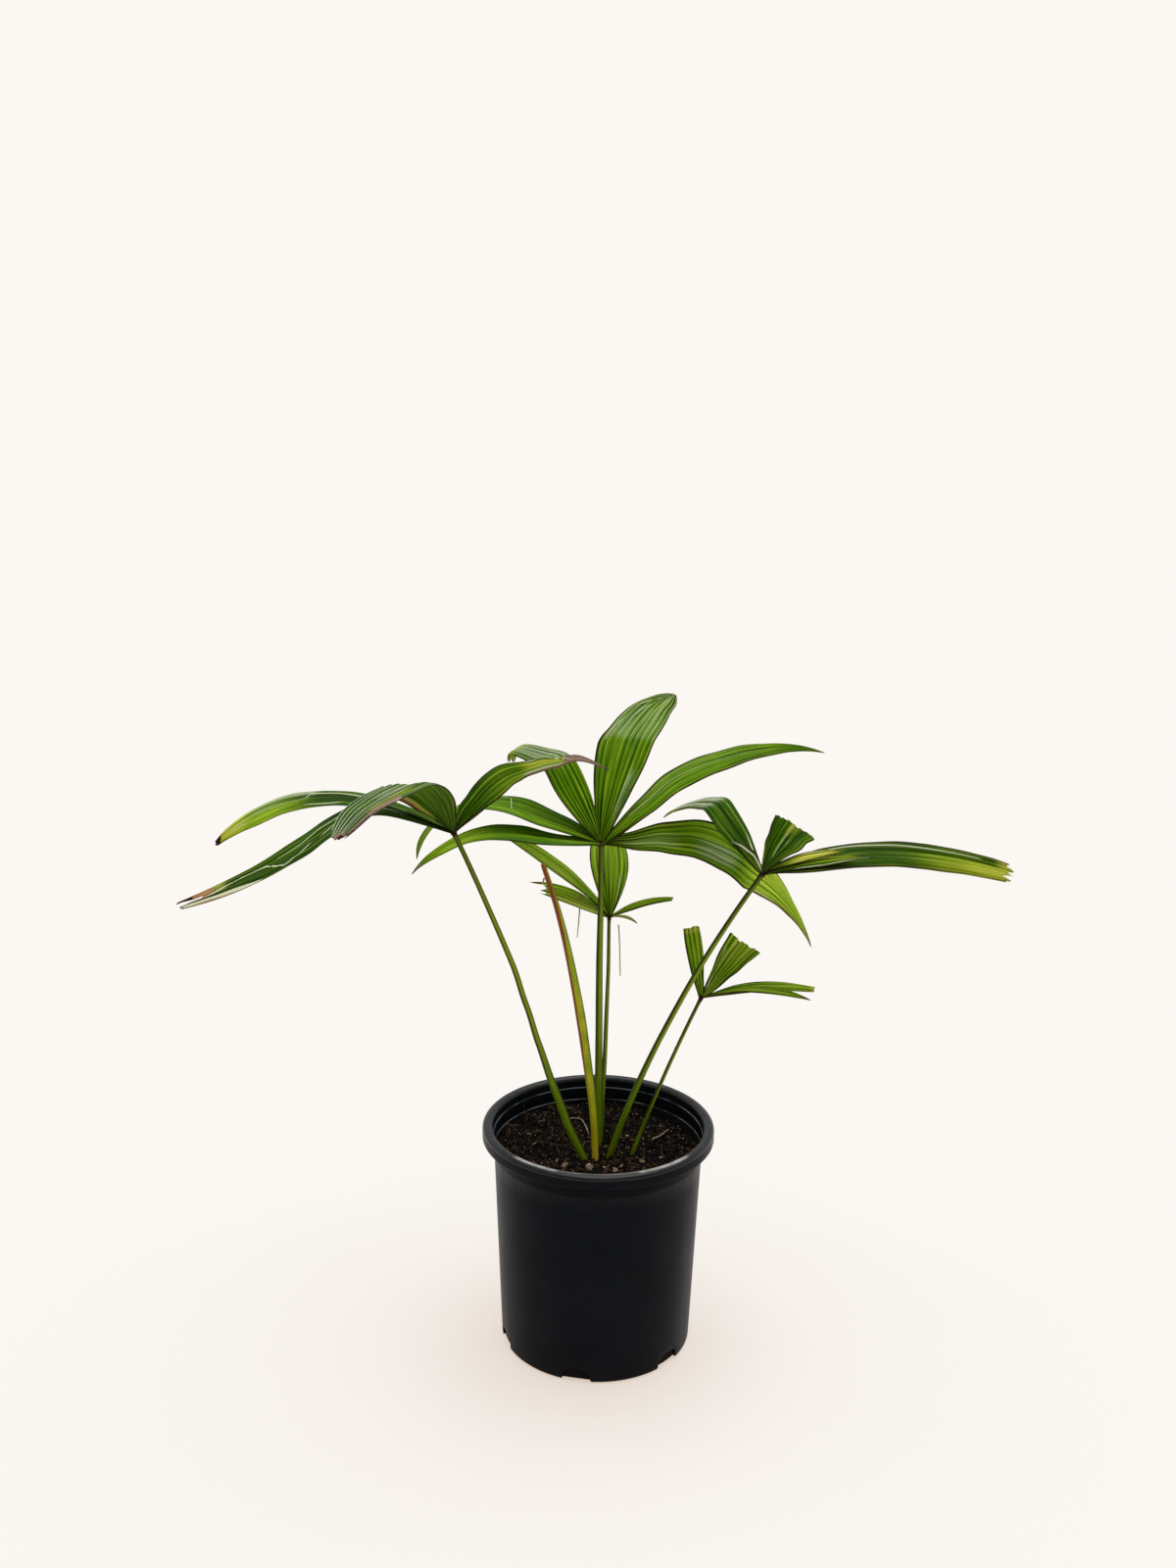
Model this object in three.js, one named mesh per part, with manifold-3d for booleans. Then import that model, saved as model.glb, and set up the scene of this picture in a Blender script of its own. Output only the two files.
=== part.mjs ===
// Potted fan palm (Borassodendron machadonis), a nursery plant in a round black pot.
// Millimetres, +Z up. The origin is the middle of the pot's flat underside, and -Y is the front.

import * as THREE from 'three';
import { mergeVertices } from 'three/addons/utils/BufferGeometryUtils.js';
import Module from 'manifold-3d';

const wasm = await Module();
wasm.setup();

// Driving dimensions: pot
const RIM_RADIUS = 108;
const LIP_WIDTH = 9.5;
const POT_HEIGHT = 218.4;
const LIP_ROUND = 4;
const RIM_BAND = 13;
const RIM_EDGE = 1.2;
const COLLAR_RADIUS = 99.2;
const COLLAR_BAND = 15;
const COLLAR_STEP = 1.4;
const BASE_RADIUS = 90.4;
const BASE_ROUND = 3.5;
const WALL = 2;
const FLOOR_THICKNESS = 3;
const FOOT_RING_INNER = 74;
const FOOT_PAD_RADIUS = 32;
const FOOT_RECESS = 1;
const INNER_STEPS = [11, 23];
const INNER_STEP_DEPTH = 0.9;
const POT_SEGMENTS = 48;
const LIP_POINTS = 6;
const BASE_ROUND_POINTS = 3;

// Driving dimensions: drainage notches round the foot, open below, with a flare where they meet the edge
const SLOT_COUNT = 6;
const SLOT_WIDTH = 26;
const SLOT_HEIGHT = 14.6;
const SLOT_DEPTH = 13;
const SLOT_SHOULDER = 7.5;
const SLOT_FULLNESS = 0.8;
const SLOT_FLARE = 4.5;
const SLOT_OVERCUT = 1;
const SLOT_CURVE_STEPS = 5;
const FIRST_SLOT = -101.4;

// Driving dimensions: potting mix
const MIX_LEVEL = 187;
const MIX_DISH = 5;
const MIX_TILT = -0.035;
const MIX_RINGS = 6;
const MIX_EDGE_DROP = 4;
const MIX_LUMPS = [
  { height: 1.6, length: 57, breadth: 48, phase: 1.3 },
  { height: 1, length: 30, breadth: 37, phase: 0 },
];

// Clearance kept between neighbours, and what a faceted wall takes off it
const GAP = 0.35;
const FACET_ALLOWANCE = 0.25;

// Leaf blades
const BLADE_STEPS = 120;
const STATION_SPACING = 17;
const LEAST_STATIONS = 6;
const BLADE_ACROSS = [-1, -0.5, 0, 0.5, 1];
const BLADE_SLENDERNESS = 95;
const BLADE_LEAST = 1.2;
const PLEAT_RISE = 0.03;
const EDGE_SHARE = 0.55;

// Petioles
const STEM_SIDES = 8;
const STEM_STATIONS = 14;
const FOOT_DEPTH = 14;
const AIM_STEP = 0.01;
// The swollen top of a petiole: places along it in millimetres from the hub, and shares of its end radius
const HUB_PROFILE = [
  { along: -9, share: 1 },
  { along: -4, share: 1.3 },
  { along: 0, share: 1.5 },
  { along: 2.7, share: 0.9 },
];

const DEG = Math.PI / 180;
const TURN = 2 * Math.PI;

const COLOURS = {
  pot: { color: 0x1b1d20, roughness: 0.42, metalness: 0 },
  mix: { color: 0x2c211a, roughness: 0.95, metalness: 0 },
  petiole: { color: 0x4c5f22, roughness: 0.45, metalness: 0 },
  spear: { color: 0x6a4a2c, roughness: 0.6, metalness: 0 },
  darkLeaf: { color: 0x33501a, roughness: 0.45, metalness: 0 },
  leaf: { color: 0x446a1c, roughness: 0.45, metalness: 0 },
  paleLeaf: { color: 0x6c8f2a, roughness: 0.48, metalness: 0 },
};

// Each leaf: its stalk from the mix (foot) to the hub at its top, where its leaflets meet.
// heading is the compass angle in plan from +X, rise the angle above level at the hub, and droop
// how far that angle falls by the tip. A crease is a further fall over a short stretch of the length.
// A leaflet that bends far over is split across its length, at the share of it given by split.
const LEAVES = [
  {
    name: 'left',
    colour: 'darkLeaf',
    foot: [-14.3, -15, MIX_LEVEL],
    top: [-131, -35, 509],
    radii: [4.3, 2.6, 2.1],
    bow: 7,
    hasHub: true,
    leaflets: [
      { name: 'back', heading: 168, rise: 27, droop: 70, bend: 1.15, swerve: 7, length: 237, width: 42,
        widest: 0.46, roll: 9, twist: -30, full: 3 },
      { name: 'long', heading: 187, rise: 22, droop: -21, bend: 1.45, length: 267, width: 48,
        widest: 0.45, twist: -18, full: 2, tip: 0.12, crease: 62, creaseAt: 0.17, creaseSpan: 0.24 },
      { name: 'arched', heading: 225, rise: 54, droop: 35, swerve: 9, length: 164, width: 60,
        widest: 0.45, roll: 14, twist: -5, full: 2.3, crease: 47, creaseAt: 0.32, creaseSpan: 0.19,
        split: 0.42 },
      { name: 'rising', heading: 359, rise: 65, droop: 86, bend: 1.1, length: 162, width: 35,
        widest: 0.36, roll: 41, twist: -33, full: 1.4, split: 0.5 },
    ],
  },
  {
    name: 'tall',
    colour: 'leaf',
    foot: [2, 15, MIX_LEVEL],
    top: [-1, 35, 481],
    radii: [3.4, 2.9, 2.1],
    bow: 1,
    hasHub: true,
    leaflets: [
      { name: 'low_left', heading: 179, rise: 10, droop: 64, bend: 2.1, length: 187, width: 38,
        roll: -4, twist: -7, full: 1.9 },
      { name: 'mid_left', heading: 167, rise: 25, droop: 110, bend: 2.05, swerve: -5, length: 218,
        width: 40, widest: 0.41, roll: -10, twist: 14, split: 0.6 },
      { name: 'folded', heading: 146, rise: 55, swerve: -3, length: 146, width: 40, widest: 0.47,
        roll: -15, twist: 2, crease: 56, creaseAt: 0.46, creaseSpan: 0.31 },
      { name: 'upright', heading: 64, rise: 68, droop: 72, bend: 1.2, length: 214, width: 56,
        widest: 0.5, roll: -7, twist: 13, full: 2 },
      { name: 'right', heading: 12, rise: 44, droop: 59, bend: 1.55, length: 239, width: 40,
        roll: 12, twist: 2, full: 1.85 },
      { name: 'drooping', heading: 354, rise: 22, droop: 95, bend: 1, swerve: 7, length: 246,
        width: 51, widest: 0.6, roll: 48, twist: -22, full: 0.8, split: 0.5 },
    ],
  },
  {
    name: 'inner',
    colour: 'paleLeaf',
    foot: [4, 22, MIX_LEVEL],
    top: [8, 62, 400],
    radii: [2.4, 2, 1.5],
    bow: 1,
    hasHub: true,
    leaflets: [
      { name: 'up_left', heading: 172, rise: 62, droop: 38, bend: 0.5, length: 141, width: 30,
        roll: 3, twist: -20 },
      { name: 'torn', heading: 184, rise: 35, droop: 27, length: 80, width: 26, roll: -11,
        twist: -17, tip: 0.4 },
      { name: 'upright', heading: 91, rise: 54, droop: 67, length: 140, width: 41, widest: 0.46,
        roll: 19, twist: -10, full: 1.9 },
      { name: 'cut', heading: 5, rise: 29, droop: 30, length: 65, width: 14, roll: 5, twist: 8,
        tip: 0.4 },
      { name: 'shoot', heading: 330, rise: 20, droop: 60, length: 29, width: 7, tip: 0.15 },
    ],
  },
  {
    name: 'right',
    colour: 'darkLeaf',
    foot: [11.7, -9, MIX_LEVEL],
    top: [142, -30, 474],
    radii: [3.4, 2.6, 2.1],
    bow: 12,
    hasHub: true,
    leaflets: [
      { name: 'folded', heading: 143, rise: 50, droop: 19, swerve: -3, length: 135, width: 38,
        widest: 0.45, roll: -3, twist: -3, crease: 64, creaseAt: 0.51, creaseSpan: 0.2 },
      { name: 'lip', heading: 200, rise: 50, droop: 10, length: 46, width: 11, roll: -30, tip: 0.1 },
      { name: 'cut', heading: 35, rise: 60, droop: 30, length: 52, width: 44, roll: -15, twist: 38,
        tip: 0.85, widest: 0.9, swell: 1.3 },
      { name: 'long', heading: 352, rise: 22, droop: 36, bend: 1, swerve: -2, length: 217,
        width: 44, widest: 0.25, roll: 7, twist: 22, tip: 0.45, full: 1.7 },
    ],
  },
  {
    name: 'low',
    colour: 'paleLeaf',
    foot: [34, 0, MIX_LEVEL],
    top: [94, 20, 338],
    radii: [2.2, 1.8, 1.7],
    bow: 3,
    hasHub: true,
    leaflets: [
      { name: 'cut_upright', heading: 112, rise: 72, droop: 6, length: 65, width: 18, roll: -2,
        tip: 0.9, widest: 0.8, swell: 1.3 },
      { name: 'cut_slanted', heading: 34, rise: 42, droop: 3, length: 67, width: 34, roll: -3,
        twist: 29, tip: 0.9, widest: 0.8, swell: 1.5 },
      { name: 'cut_level', heading: 5, rise: 11, droop: 18, length: 110, width: 24, roll: 9,
        twist: -6, tip: 0.25 },
      { name: 'level', heading: 350, rise: 19, droop: 40, length: 104, width: 20, roll: -13,
        twist: 11 },
    ],
  },
];

// The old spear: a dead leaf stalk that ends where it was cut off.
const SPEAR = {
  foot: [-2.8, -13, MIX_LEVEL],
  top: [-54.6, -10, 474],
  radii: [3.4, 4, 2],
  bow: 10,
  hasHub: false,
};

const BLADE_DEFAULTS = {
  droop: 0, bend: 1.3, swerve: 0, widest: 0.42, roll: 0, twist: 0, tip: 0.06, full: 1.8,
  root: 0.1, swell: 1, crease: 0, creaseAt: 0.5, creaseSpan: 0.2, split: 1,
};

const group = new THREE.Group();

function addMesh(name, geometry, colour) {
  geometry.computeVertexNormals();
  const mesh = new THREE.Mesh(geometry, new THREE.MeshStandardMaterial(COLOURS[colour]));
  mesh.name = name;
  group.add(mesh);
}

// Turns a closed three.js geometry into a solid that can be joined and cut.
function toSolid(geometry) {
  const bare = geometry.clone();
  bare.deleteAttribute('normal');
  bare.deleteAttribute('uv');
  const merged = mergeVertices(bare, 1e-4);
  const vertProperties = new Float32Array(merged.attributes.position.array);
  const triVerts = new Uint32Array(merged.index.array);
  return new wasm.Manifold(new wasm.Mesh({ numProp: 3, vertProperties, triVerts }));
}

function toGeometry(solid) {
  const mesh = solid.getMesh();
  const geometry = new THREE.BufferGeometry();
  geometry.setAttribute('position', new THREE.BufferAttribute(new Float32Array(mesh.vertProperties), 3));
  geometry.setIndex(new THREE.BufferAttribute(new Uint32Array(mesh.triVerts), 1));
  return geometry;
}

function biggestPart(solid) {
  const parts = solid.decompose();
  return parts.reduce((best, part) => (part.volume() > best.volume() ? part : best));
}

// Skins a row of rings, each the same number of points in order round the section.
// cap lists the triangles that close one end, as indices into a ring.
function loft(rings, cap) {
  const size = rings[0].length;
  const points = rings.flat();
  const index = [];
  for (let row = 0; row < rings.length - 1; row += 1) {
    for (let side = 0; side < size; side += 1) {
      const next = (side + 1) % size;
      const a = row * size + side;
      const b = row * size + next;
      const c = a + size;
      const d = b + size;
      index.push(a, c, b, b, c, d);
    }
  }
  const last = (rings.length - 1) * size;
  for (const [a, b, c] of cap) {
    index.push(a, b, c);
    index.push(last + a, last + c, last + b);
  }
  const geometry = new THREE.BufferGeometry();
  geometry.setFromPoints(points);
  geometry.setIndex(index);
  return geometry;
}

function smooth(x) {
  const t = THREE.MathUtils.clamp(x, 0, 1);
  return t * t * (3 - 2 * t);
}

function bladeWidth(leaflet, s) {
  const { width, widest, root, swell, tip, full } = leaflet;
  if (s < widest) {
    return width * (root + (1 - root) * Math.sin((Math.PI / 2) * (s / widest)) ** swell);
  }
  const u = (s - widest) / (1 - widest);
  return width * (tip + (1 - tip) * (1 - u ** full));
}

// Direction along the midrib, across the blade and out of its upper face, at share s of the length.
function bladeFrame(leaflet, s) {
  const creased = leaflet.crease * smooth((s - leaflet.creaseAt) / leaflet.creaseSpan);
  const elevation = (leaflet.rise - leaflet.droop * s ** leaflet.bend - creased) * DEG;
  const azimuth = (leaflet.heading + leaflet.swerve * s) * DEG;
  const roll = (leaflet.roll + leaflet.twist * smooth(s)) * DEG;
  const along = new THREE.Vector3(
    Math.cos(elevation) * Math.cos(azimuth),
    Math.cos(elevation) * Math.sin(azimuth),
    Math.sin(elevation),
  );
  const level = new THREE.Vector3(-Math.sin(azimuth), Math.cos(azimuth), 0);
  const upper = along.clone().cross(level);
  const across = level.clone().multiplyScalar(Math.cos(roll)).addScaledVector(upper, Math.sin(roll));
  const out = upper.multiplyScalar(Math.cos(roll)).addScaledVector(level, -Math.sin(roll));
  return { along, across, out };
}

// Points down the middle of a leaflet, from the hub to its tip.
function bladeSpine(hub, leaflet) {
  const step = leaflet.length / BLADE_STEPS;
  const centre = new THREE.Vector3(...hub);
  const spine = [centre.clone()];
  for (let i = 0; i < BLADE_STEPS; i += 1) {
    centre.addScaledVector(bladeFrame(leaflet, (i + 0.5) / BLADE_STEPS).along, step);
    spine.push(centre.clone());
  }
  return spine;
}

function spinePoint(spine, s) {
  const place = s * BLADE_STEPS;
  const before = Math.min(Math.floor(place), BLADE_STEPS - 1);
  return spine[before].clone().lerp(spine[before + 1], place - before);
}

// A leaflet from share from to share to of its length, as a closed thin pleated blade.
// extra thickens and widens it, to cut its neighbours clear.
function bladeGeometry(hub, leaflet, from, to, extra) {
  const thickness = Math.max(leaflet.length / BLADE_SLENDERNESS, BLADE_LEAST);
  const stations = Math.max(LEAST_STATIONS, Math.round((leaflet.length * (to - from)) / STATION_SPACING));
  const spine = bladeSpine(hub, leaflet);
  const rings = [];
  for (let i = 0; i <= stations; i += 1) {
    const s = from + ((to - from) * i) / stations;
    const width = bladeWidth(leaflet, s);
    rings.push(bladeRing(spinePoint(spine, s), bladeFrame(leaflet, s), width, thickness, extra));
  }
  const count = BLADE_ACROSS.length;
  const cap = [];
  for (let i = 0; i < count - 1; i += 1) {
    const under = 2 * count - 1 - i;
    cap.push([i, i + 1, under]);
    cap.push([i + 1, under - 1, under]);
  }
  return loft(rings, cap);
}

function bladeRing(centre, frame, width, thickness, extra) {
  const place = (t, rise) => centre.clone()
    .addScaledVector(frame.across, t * (width / 2 + extra))
    .addScaledVector(frame.out, rise);
  const pleat = (t) => width * PLEAT_RISE * (Math.abs(t) === 0.5 ? 0.5 : -0.5);
  const deep = (t) => (thickness / 2) * (Math.abs(t) === 1 ? EDGE_SHARE : 1) + extra;
  const top = BLADE_ACROSS.map((t) => place(t, pleat(t) + deep(t)));
  const bottom = BLADE_ACROSS.map((t) => place(t, pleat(t) - deep(t))).reverse();
  return top.concat(bottom);
}

// Point on a stalk: it starts upright and then leans out, so it bows back by bow mm half way.
function stalkPoint(foot, top, bow, t) {
  const start = new THREE.Vector3(...foot);
  const end = new THREE.Vector3(...top);
  const lean = new THREE.Vector3(end.x - start.x, end.y - start.y, 0).normalize();
  return start.lerp(end, t).addScaledVector(lean, -bow * 4 * t * (1 - t));
}

function stalkRadius(radii, t) {
  const [low, middle, high] = radii;
  return t < 0.5
    ? THREE.MathUtils.lerp(low, middle, smooth(t / 0.5))
    : THREE.MathUtils.lerp(middle, high, (t - 0.5) / 0.5);
}

// A tapering stalk from FOOT_DEPTH under the surface of the mix up to its hub or its cut end.
// extra thickens it, to cut its neighbours clear.
function stalkGeometry({ foot, top, radii, bow, hasHub }, extra) {
  const span = new THREE.Vector3(...top).distanceTo(new THREE.Vector3(...foot));
  const stations = [{ t: -FOOT_DEPTH / span, radius: radii[0] }];
  for (let i = 0; i <= STEM_STATIONS; i += 1) {
    const t = i / STEM_STATIONS;
    stations.push({ t, radius: stalkRadius(radii, t) });
  }
  if (hasHub) {
    stations.pop();
    for (const { along, share } of HUB_PROFILE) {
      stations.push({ t: 1 + along / span, radius: radii[2] * share });
    }
  }
  const rings = stations.map(({ t, radius }) => {
    const before = stalkPoint(foot, top, bow, t - AIM_STEP);
    const ahead = stalkPoint(foot, top, bow, t + AIM_STEP).sub(before).normalize();
    return circle(stalkPoint(foot, top, bow, t), ahead, radius + extra);
  });
  const cap = [];
  for (let i = 1; i < STEM_SIDES - 1; i += 1) {
    cap.push([0, i, i + 1]);
  }
  return loft(rings, cap);
}

// A ring of points round a centre, square to the direction ahead.
function circle(centre, ahead, radius) {
  const side = new THREE.Vector3(1, 0, 0).cross(ahead).normalize();
  const other = ahead.clone().cross(side);
  const ring = [];
  for (let i = 0; i < STEM_SIDES; i += 1) {
    const angle = (-i / STEM_SIDES) * TURN;
    ring.push(centre.clone()
      .addScaledVector(side, Math.cos(angle) * radius)
      .addScaledVector(other, Math.sin(angle) * radius));
  }
  return ring;
}

// Inner radius of the pot's wall at height z, below the collar.
function innerRadius(z) {
  const collarBottom = POT_HEIGHT - RIM_BAND - COLLAR_BAND;
  const bodyTop = COLLAR_RADIUS - COLLAR_STEP;
  return BASE_RADIUS - WALL + ((bodyTop - BASE_RADIUS) * z) / collarBottom;
}

// Points of an elliptical arc in the plane of radius and height, between two angles in degrees.
function arc(radius, height, reach, rise, from, to, count) {
  const points = [];
  for (let i = 0; i <= count; i += 1) {
    const angle = (from + ((to - from) * i) / count) * DEG;
    points.push([radius + reach * Math.cos(angle), height + rise * Math.sin(angle)]);
  }
  return points;
}

// Half section of the pot: underside, outer wall with its collar and rim, rolled lip, inner wall, floor.
function potProfile() {
  const rimInner = RIM_RADIUS - LIP_WIDTH;
  const bandBottom = POT_HEIGHT - RIM_BAND;
  const collarBottom = bandBottom - COLLAR_BAND;
  const half = LIP_WIDTH / 2;
  const points = [
    [0, 0],
    [FOOT_PAD_RADIUS, 0],
    [FOOT_PAD_RADIUS + FOOT_RECESS, FOOT_RECESS],
    [FOOT_RING_INNER - FOOT_RECESS, FOOT_RECESS],
    [FOOT_RING_INNER, 0],
    ...arc(BASE_RADIUS - BASE_ROUND, BASE_ROUND, BASE_ROUND, BASE_ROUND, -90, 0, BASE_ROUND_POINTS),
    [COLLAR_RADIUS - COLLAR_STEP, collarBottom],
    [COLLAR_RADIUS, collarBottom + COLLAR_STEP],
    [COLLAR_RADIUS, bandBottom],
    [RIM_RADIUS - RIM_EDGE, bandBottom],
    [RIM_RADIUS, bandBottom + RIM_EDGE],
    ...arc(RIM_RADIUS - half, POT_HEIGHT - LIP_ROUND, half, LIP_ROUND, 0, 180, LIP_POINTS),
  ];
  INNER_STEPS.forEach((drop, step) => {
    const z = POT_HEIGHT - drop;
    const radius = rimInner - step * INNER_STEP_DEPTH;
    points.push([radius, z + INNER_STEP_DEPTH], [radius - INNER_STEP_DEPTH, z]);
  });
  points.push(
    [innerRadius(collarBottom), collarBottom],
    [innerRadius(FLOOR_THICKNESS), FLOOR_THICKNESS],
    [0, FLOOR_THICKNESS],
  );
  return points.map(([radius, z]) => new THREE.Vector2(radius, z));
}

// The bell-shaped cutter for one drainage notch, lying along +X. It reaches a little below the pot.
function slotGeometry() {
  const half = SLOT_WIDTH / 2;
  const foot = half + SLOT_FLARE;
  const bell = new THREE.Shape();
  bell.moveTo(-foot, -SLOT_OVERCUT);
  bell.lineTo(foot, -SLOT_OVERCUT);
  bell.lineTo(foot, 0);
  bell.quadraticCurveTo(half, 0, half, SLOT_FLARE);
  bell.lineTo(half, SLOT_SHOULDER);
  bell.quadraticCurveTo(half * SLOT_FULLNESS, SLOT_HEIGHT, 0, SLOT_HEIGHT);
  bell.quadraticCurveTo(-half * SLOT_FULLNESS, SLOT_HEIGHT, -half, SLOT_SHOULDER);
  bell.lineTo(-half, SLOT_FLARE);
  bell.quadraticCurveTo(-half, 0, -foot, 0);
  bell.closePath();
  const geometry = new THREE.ExtrudeGeometry(bell, {
    depth: SLOT_DEPTH, steps: 1, curveSegments: SLOT_CURVE_STEPS, bevelEnabled: false,
  });
  geometry.rotateX(Math.PI / 2);
  geometry.rotateZ(Math.PI / 2);
  geometry.translate(BASE_RADIUS - SLOT_DEPTH / 2, 0, 0);
  return geometry;
}

function makePot() {
  const body = new THREE.LatheGeometry(potProfile(), POT_SEGMENTS);
  body.rotateX(Math.PI / 2);
  let pot = toSolid(body);
  for (let i = 0; i < SLOT_COUNT; i += 1) {
    const slot = slotGeometry();
    slot.rotateZ((FIRST_SLOT + (i * 360) / SLOT_COUNT) * DEG);
    pot = pot.subtract(toSolid(slot));
  }
  return pot;
}

// Height of the potting mix: higher towards the wall and to the left, with low lumps.
function mixHeight(x, y) {
  let height = MIX_LEVEL + x * MIX_TILT + MIX_DISH * ((x * x + y * y) / BASE_RADIUS ** 2);
  for (const lump of MIX_LUMPS) {
    const across = Math.cos((y * TURN) / lump.breadth);
    height += lump.height * Math.sin((x * TURN) / lump.length + lump.phase) * across;
  }
  return height;
}

// The potting mix fills the pot, clear of its wall and floor, with a hole for the foot of each stalk.
function makeMix(stalks) {
  const bottom = FLOOR_THICKNESS + GAP;
  const clear = GAP + FACET_ALLOWANCE;
  const shoulder = MIX_LEVEL - MIX_EDGE_DROP;
  const rows = [];
  for (let ring = 1; ring <= MIX_RINGS; ring += 1) {
    rows.push({ radius: ((innerRadius(shoulder) - clear) * ring) / MIX_RINGS, height: mixHeight });
  }
  rows.push({ radius: innerRadius(shoulder) - clear, height: () => shoulder });
  rows.push({ radius: innerRadius(bottom) - clear, height: () => bottom });
  const points = [new THREE.Vector3(0, 0, mixHeight(0, 0)), new THREE.Vector3(0, 0, bottom)];
  for (const { radius, height } of rows) {
    for (let seg = 0; seg < POT_SEGMENTS; seg += 1) {
      const angle = (seg / POT_SEGMENTS) * TURN;
      const x = radius * Math.sin(angle);
      const y = radius * Math.cos(angle);
      points.push(new THREE.Vector3(x, y, height(x, y)));
    }
  }
  const at = (row, seg) => 2 + row * POT_SEGMENTS + (seg % POT_SEGMENTS);
  const index = [];
  for (let seg = 0; seg < POT_SEGMENTS; seg += 1) {
    index.push(0, at(0, seg + 1), at(0, seg));
    index.push(1, at(rows.length - 1, seg), at(rows.length - 1, seg + 1));
    for (let row = 0; row < rows.length - 1; row += 1) {
      index.push(at(row, seg), at(row, seg + 1), at(row + 1, seg + 1));
      index.push(at(row, seg), at(row + 1, seg + 1), at(row + 1, seg));
    }
  }
  const geometry = new THREE.BufferGeometry();
  geometry.setFromPoints(points);
  geometry.setIndex(index);
  return stalks.reduce((mix, stalk) => mix.subtract(stalk), toSolid(geometry));
}

// A petiole and its leaflets, each cut clear of those made before it.
function makeLeaf(leaf) {
  addMesh(`${leaf.name}_petiole`, stalkGeometry(leaf, 0), 'petiole');
  let taken = toSolid(stalkGeometry(leaf, GAP));
  for (const given of leaf.leaflets) {
    const leaflet = { ...BLADE_DEFAULTS, ...given };
    const name = `${leaf.name}_leaflet_${leaflet.name}`;
    const base = toSolid(bladeGeometry(leaf.top, leaflet, 0, leaflet.split, 0)).subtract(taken);
    addMesh(leaflet.split < 1 ? `${name}_base` : name, toGeometry(biggestPart(base)), leaf.colour);
    if (leaflet.split < 1) {
      const start = leaflet.split + GAP / leaflet.length;
      addMesh(`${name}_end`, bladeGeometry(leaf.top, leaflet, start, 1, 0), leaf.colour);
    }
    taken = taken.add(toSolid(bladeGeometry(leaf.top, leaflet, 0, 1, GAP)));
  }
}

const holes = [...LEAVES, SPEAR].map((stalk) => toSolid(stalkGeometry(stalk, GAP)));
addMesh('pot', toGeometry(makePot()), 'pot');
addMesh('potting_mix', toGeometry(makeMix(holes)), 'mix');
addMesh('old_spear', stalkGeometry(SPEAR, 0), 'spear');
LEAVES.forEach(makeLeaf);

export default group;
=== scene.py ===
# Looks of a potted fan palm (Borassodendron machadonis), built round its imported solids.
# Sizes are given in millimetres, as in the solids, and turned to metres where a mesh is made.
# +Z is up and -Y is the front. The origin is the middle of the pot's underside.

import math

import bmesh
import bpy
import numpy as np
from mathutils import Matrix


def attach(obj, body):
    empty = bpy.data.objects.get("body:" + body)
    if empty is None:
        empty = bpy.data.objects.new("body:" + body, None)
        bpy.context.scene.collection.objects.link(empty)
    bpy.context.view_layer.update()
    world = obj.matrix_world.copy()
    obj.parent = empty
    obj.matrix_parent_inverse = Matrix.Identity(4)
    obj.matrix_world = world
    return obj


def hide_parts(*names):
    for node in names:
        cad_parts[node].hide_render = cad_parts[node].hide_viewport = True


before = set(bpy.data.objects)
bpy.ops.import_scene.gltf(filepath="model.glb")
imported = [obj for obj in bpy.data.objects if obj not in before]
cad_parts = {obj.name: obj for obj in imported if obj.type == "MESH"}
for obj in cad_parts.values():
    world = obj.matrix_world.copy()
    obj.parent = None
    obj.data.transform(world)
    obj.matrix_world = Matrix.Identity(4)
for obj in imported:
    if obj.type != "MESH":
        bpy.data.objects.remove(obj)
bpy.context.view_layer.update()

MM = 0.001

# Pot
RIM_RADIUS = 109
LIP_WIDTH = 10
POT_HEIGHT = 218.4
LIP_ROUND = 4
RIM_BAND = 13
RIM_EDGE = 1.2
COLLAR_RADIUS = 99.2
COLLAR_BAND = 15
COLLAR_STEP = 1.4
BASE_RADIUS = 90.4
BASE_ROUND = 3.5
WALL = 2
FLOOR_THICKNESS = 3
FOOT_RING_INNER = 74
FOOT_PAD_RADIUS = 32
FOOT_RECESS = 1
INNER_STEPS = (11, 23)
INNER_STEP_DEPTH = 0.9
POT_SEGMENTS = 240
POT_SHARP_ANGLE = 35
SEAM_ANGLE = 138
SEAM_WIDTH = 1.1
SEAM_RISE = 0.35
RIM_INNER = RIM_RADIUS - LIP_WIDTH
BAND_BOTTOM = POT_HEIGHT - RIM_BAND
COLLAR_BOTTOM = BAND_BOTTOM - COLLAR_BAND
BODY_TOP = COLLAR_RADIUS - COLLAR_STEP

# Painted highlights on the lip: from and to which angle, at what radius, and how strong
LIP_GLEAMS = ((222, 252, 103.4, 1.0), (244, 298, 102.6, 0.3), (288, 322, 103.6, 1.0))

# Drainage notches round the foot
SLOT_COUNT = 6
SLOT_WIDTH = 26
SLOT_HEIGHT = 14.6
SLOT_DEPTH = 13
SLOT_SHOULDER = 7.5
SLOT_FULLNESS = 0.8
SLOT_FLARE = 4.5
SLOT_OVERCUT = 1
FIRST_SLOT = -101.4
SLOT_BEVEL = 0.5
SLOT_BEVEL_ANGLE = 50
SLOT_CURVE_POINTS = 13

# Potting mix
MIX_LEVEL = 187
MIX_DISH = 5
MIX_TILT = -0.035
MIX_EDGE_DROP = 4
MIX_LUMPS = ((1.6, 57, 48, 1.3), (1.0, 30, 37, 0.0))
MIX_CLEAR = 0.5
MIX_RINGS = 64
MIX_SEGMENTS = 288
MIX_SIDE_ROWS = 40
MIX_SIDE_DENT = 0.5
MIX_FLOOR_GAP = 0.35
FIBRE_COUNT = 75
FIBRE_STEPS = 9
FIBRE_LENGTHS = (5, 17)
FIBRE_RADII = (0.12, 0.38)
LUMP_VARIANTS = 6

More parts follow.
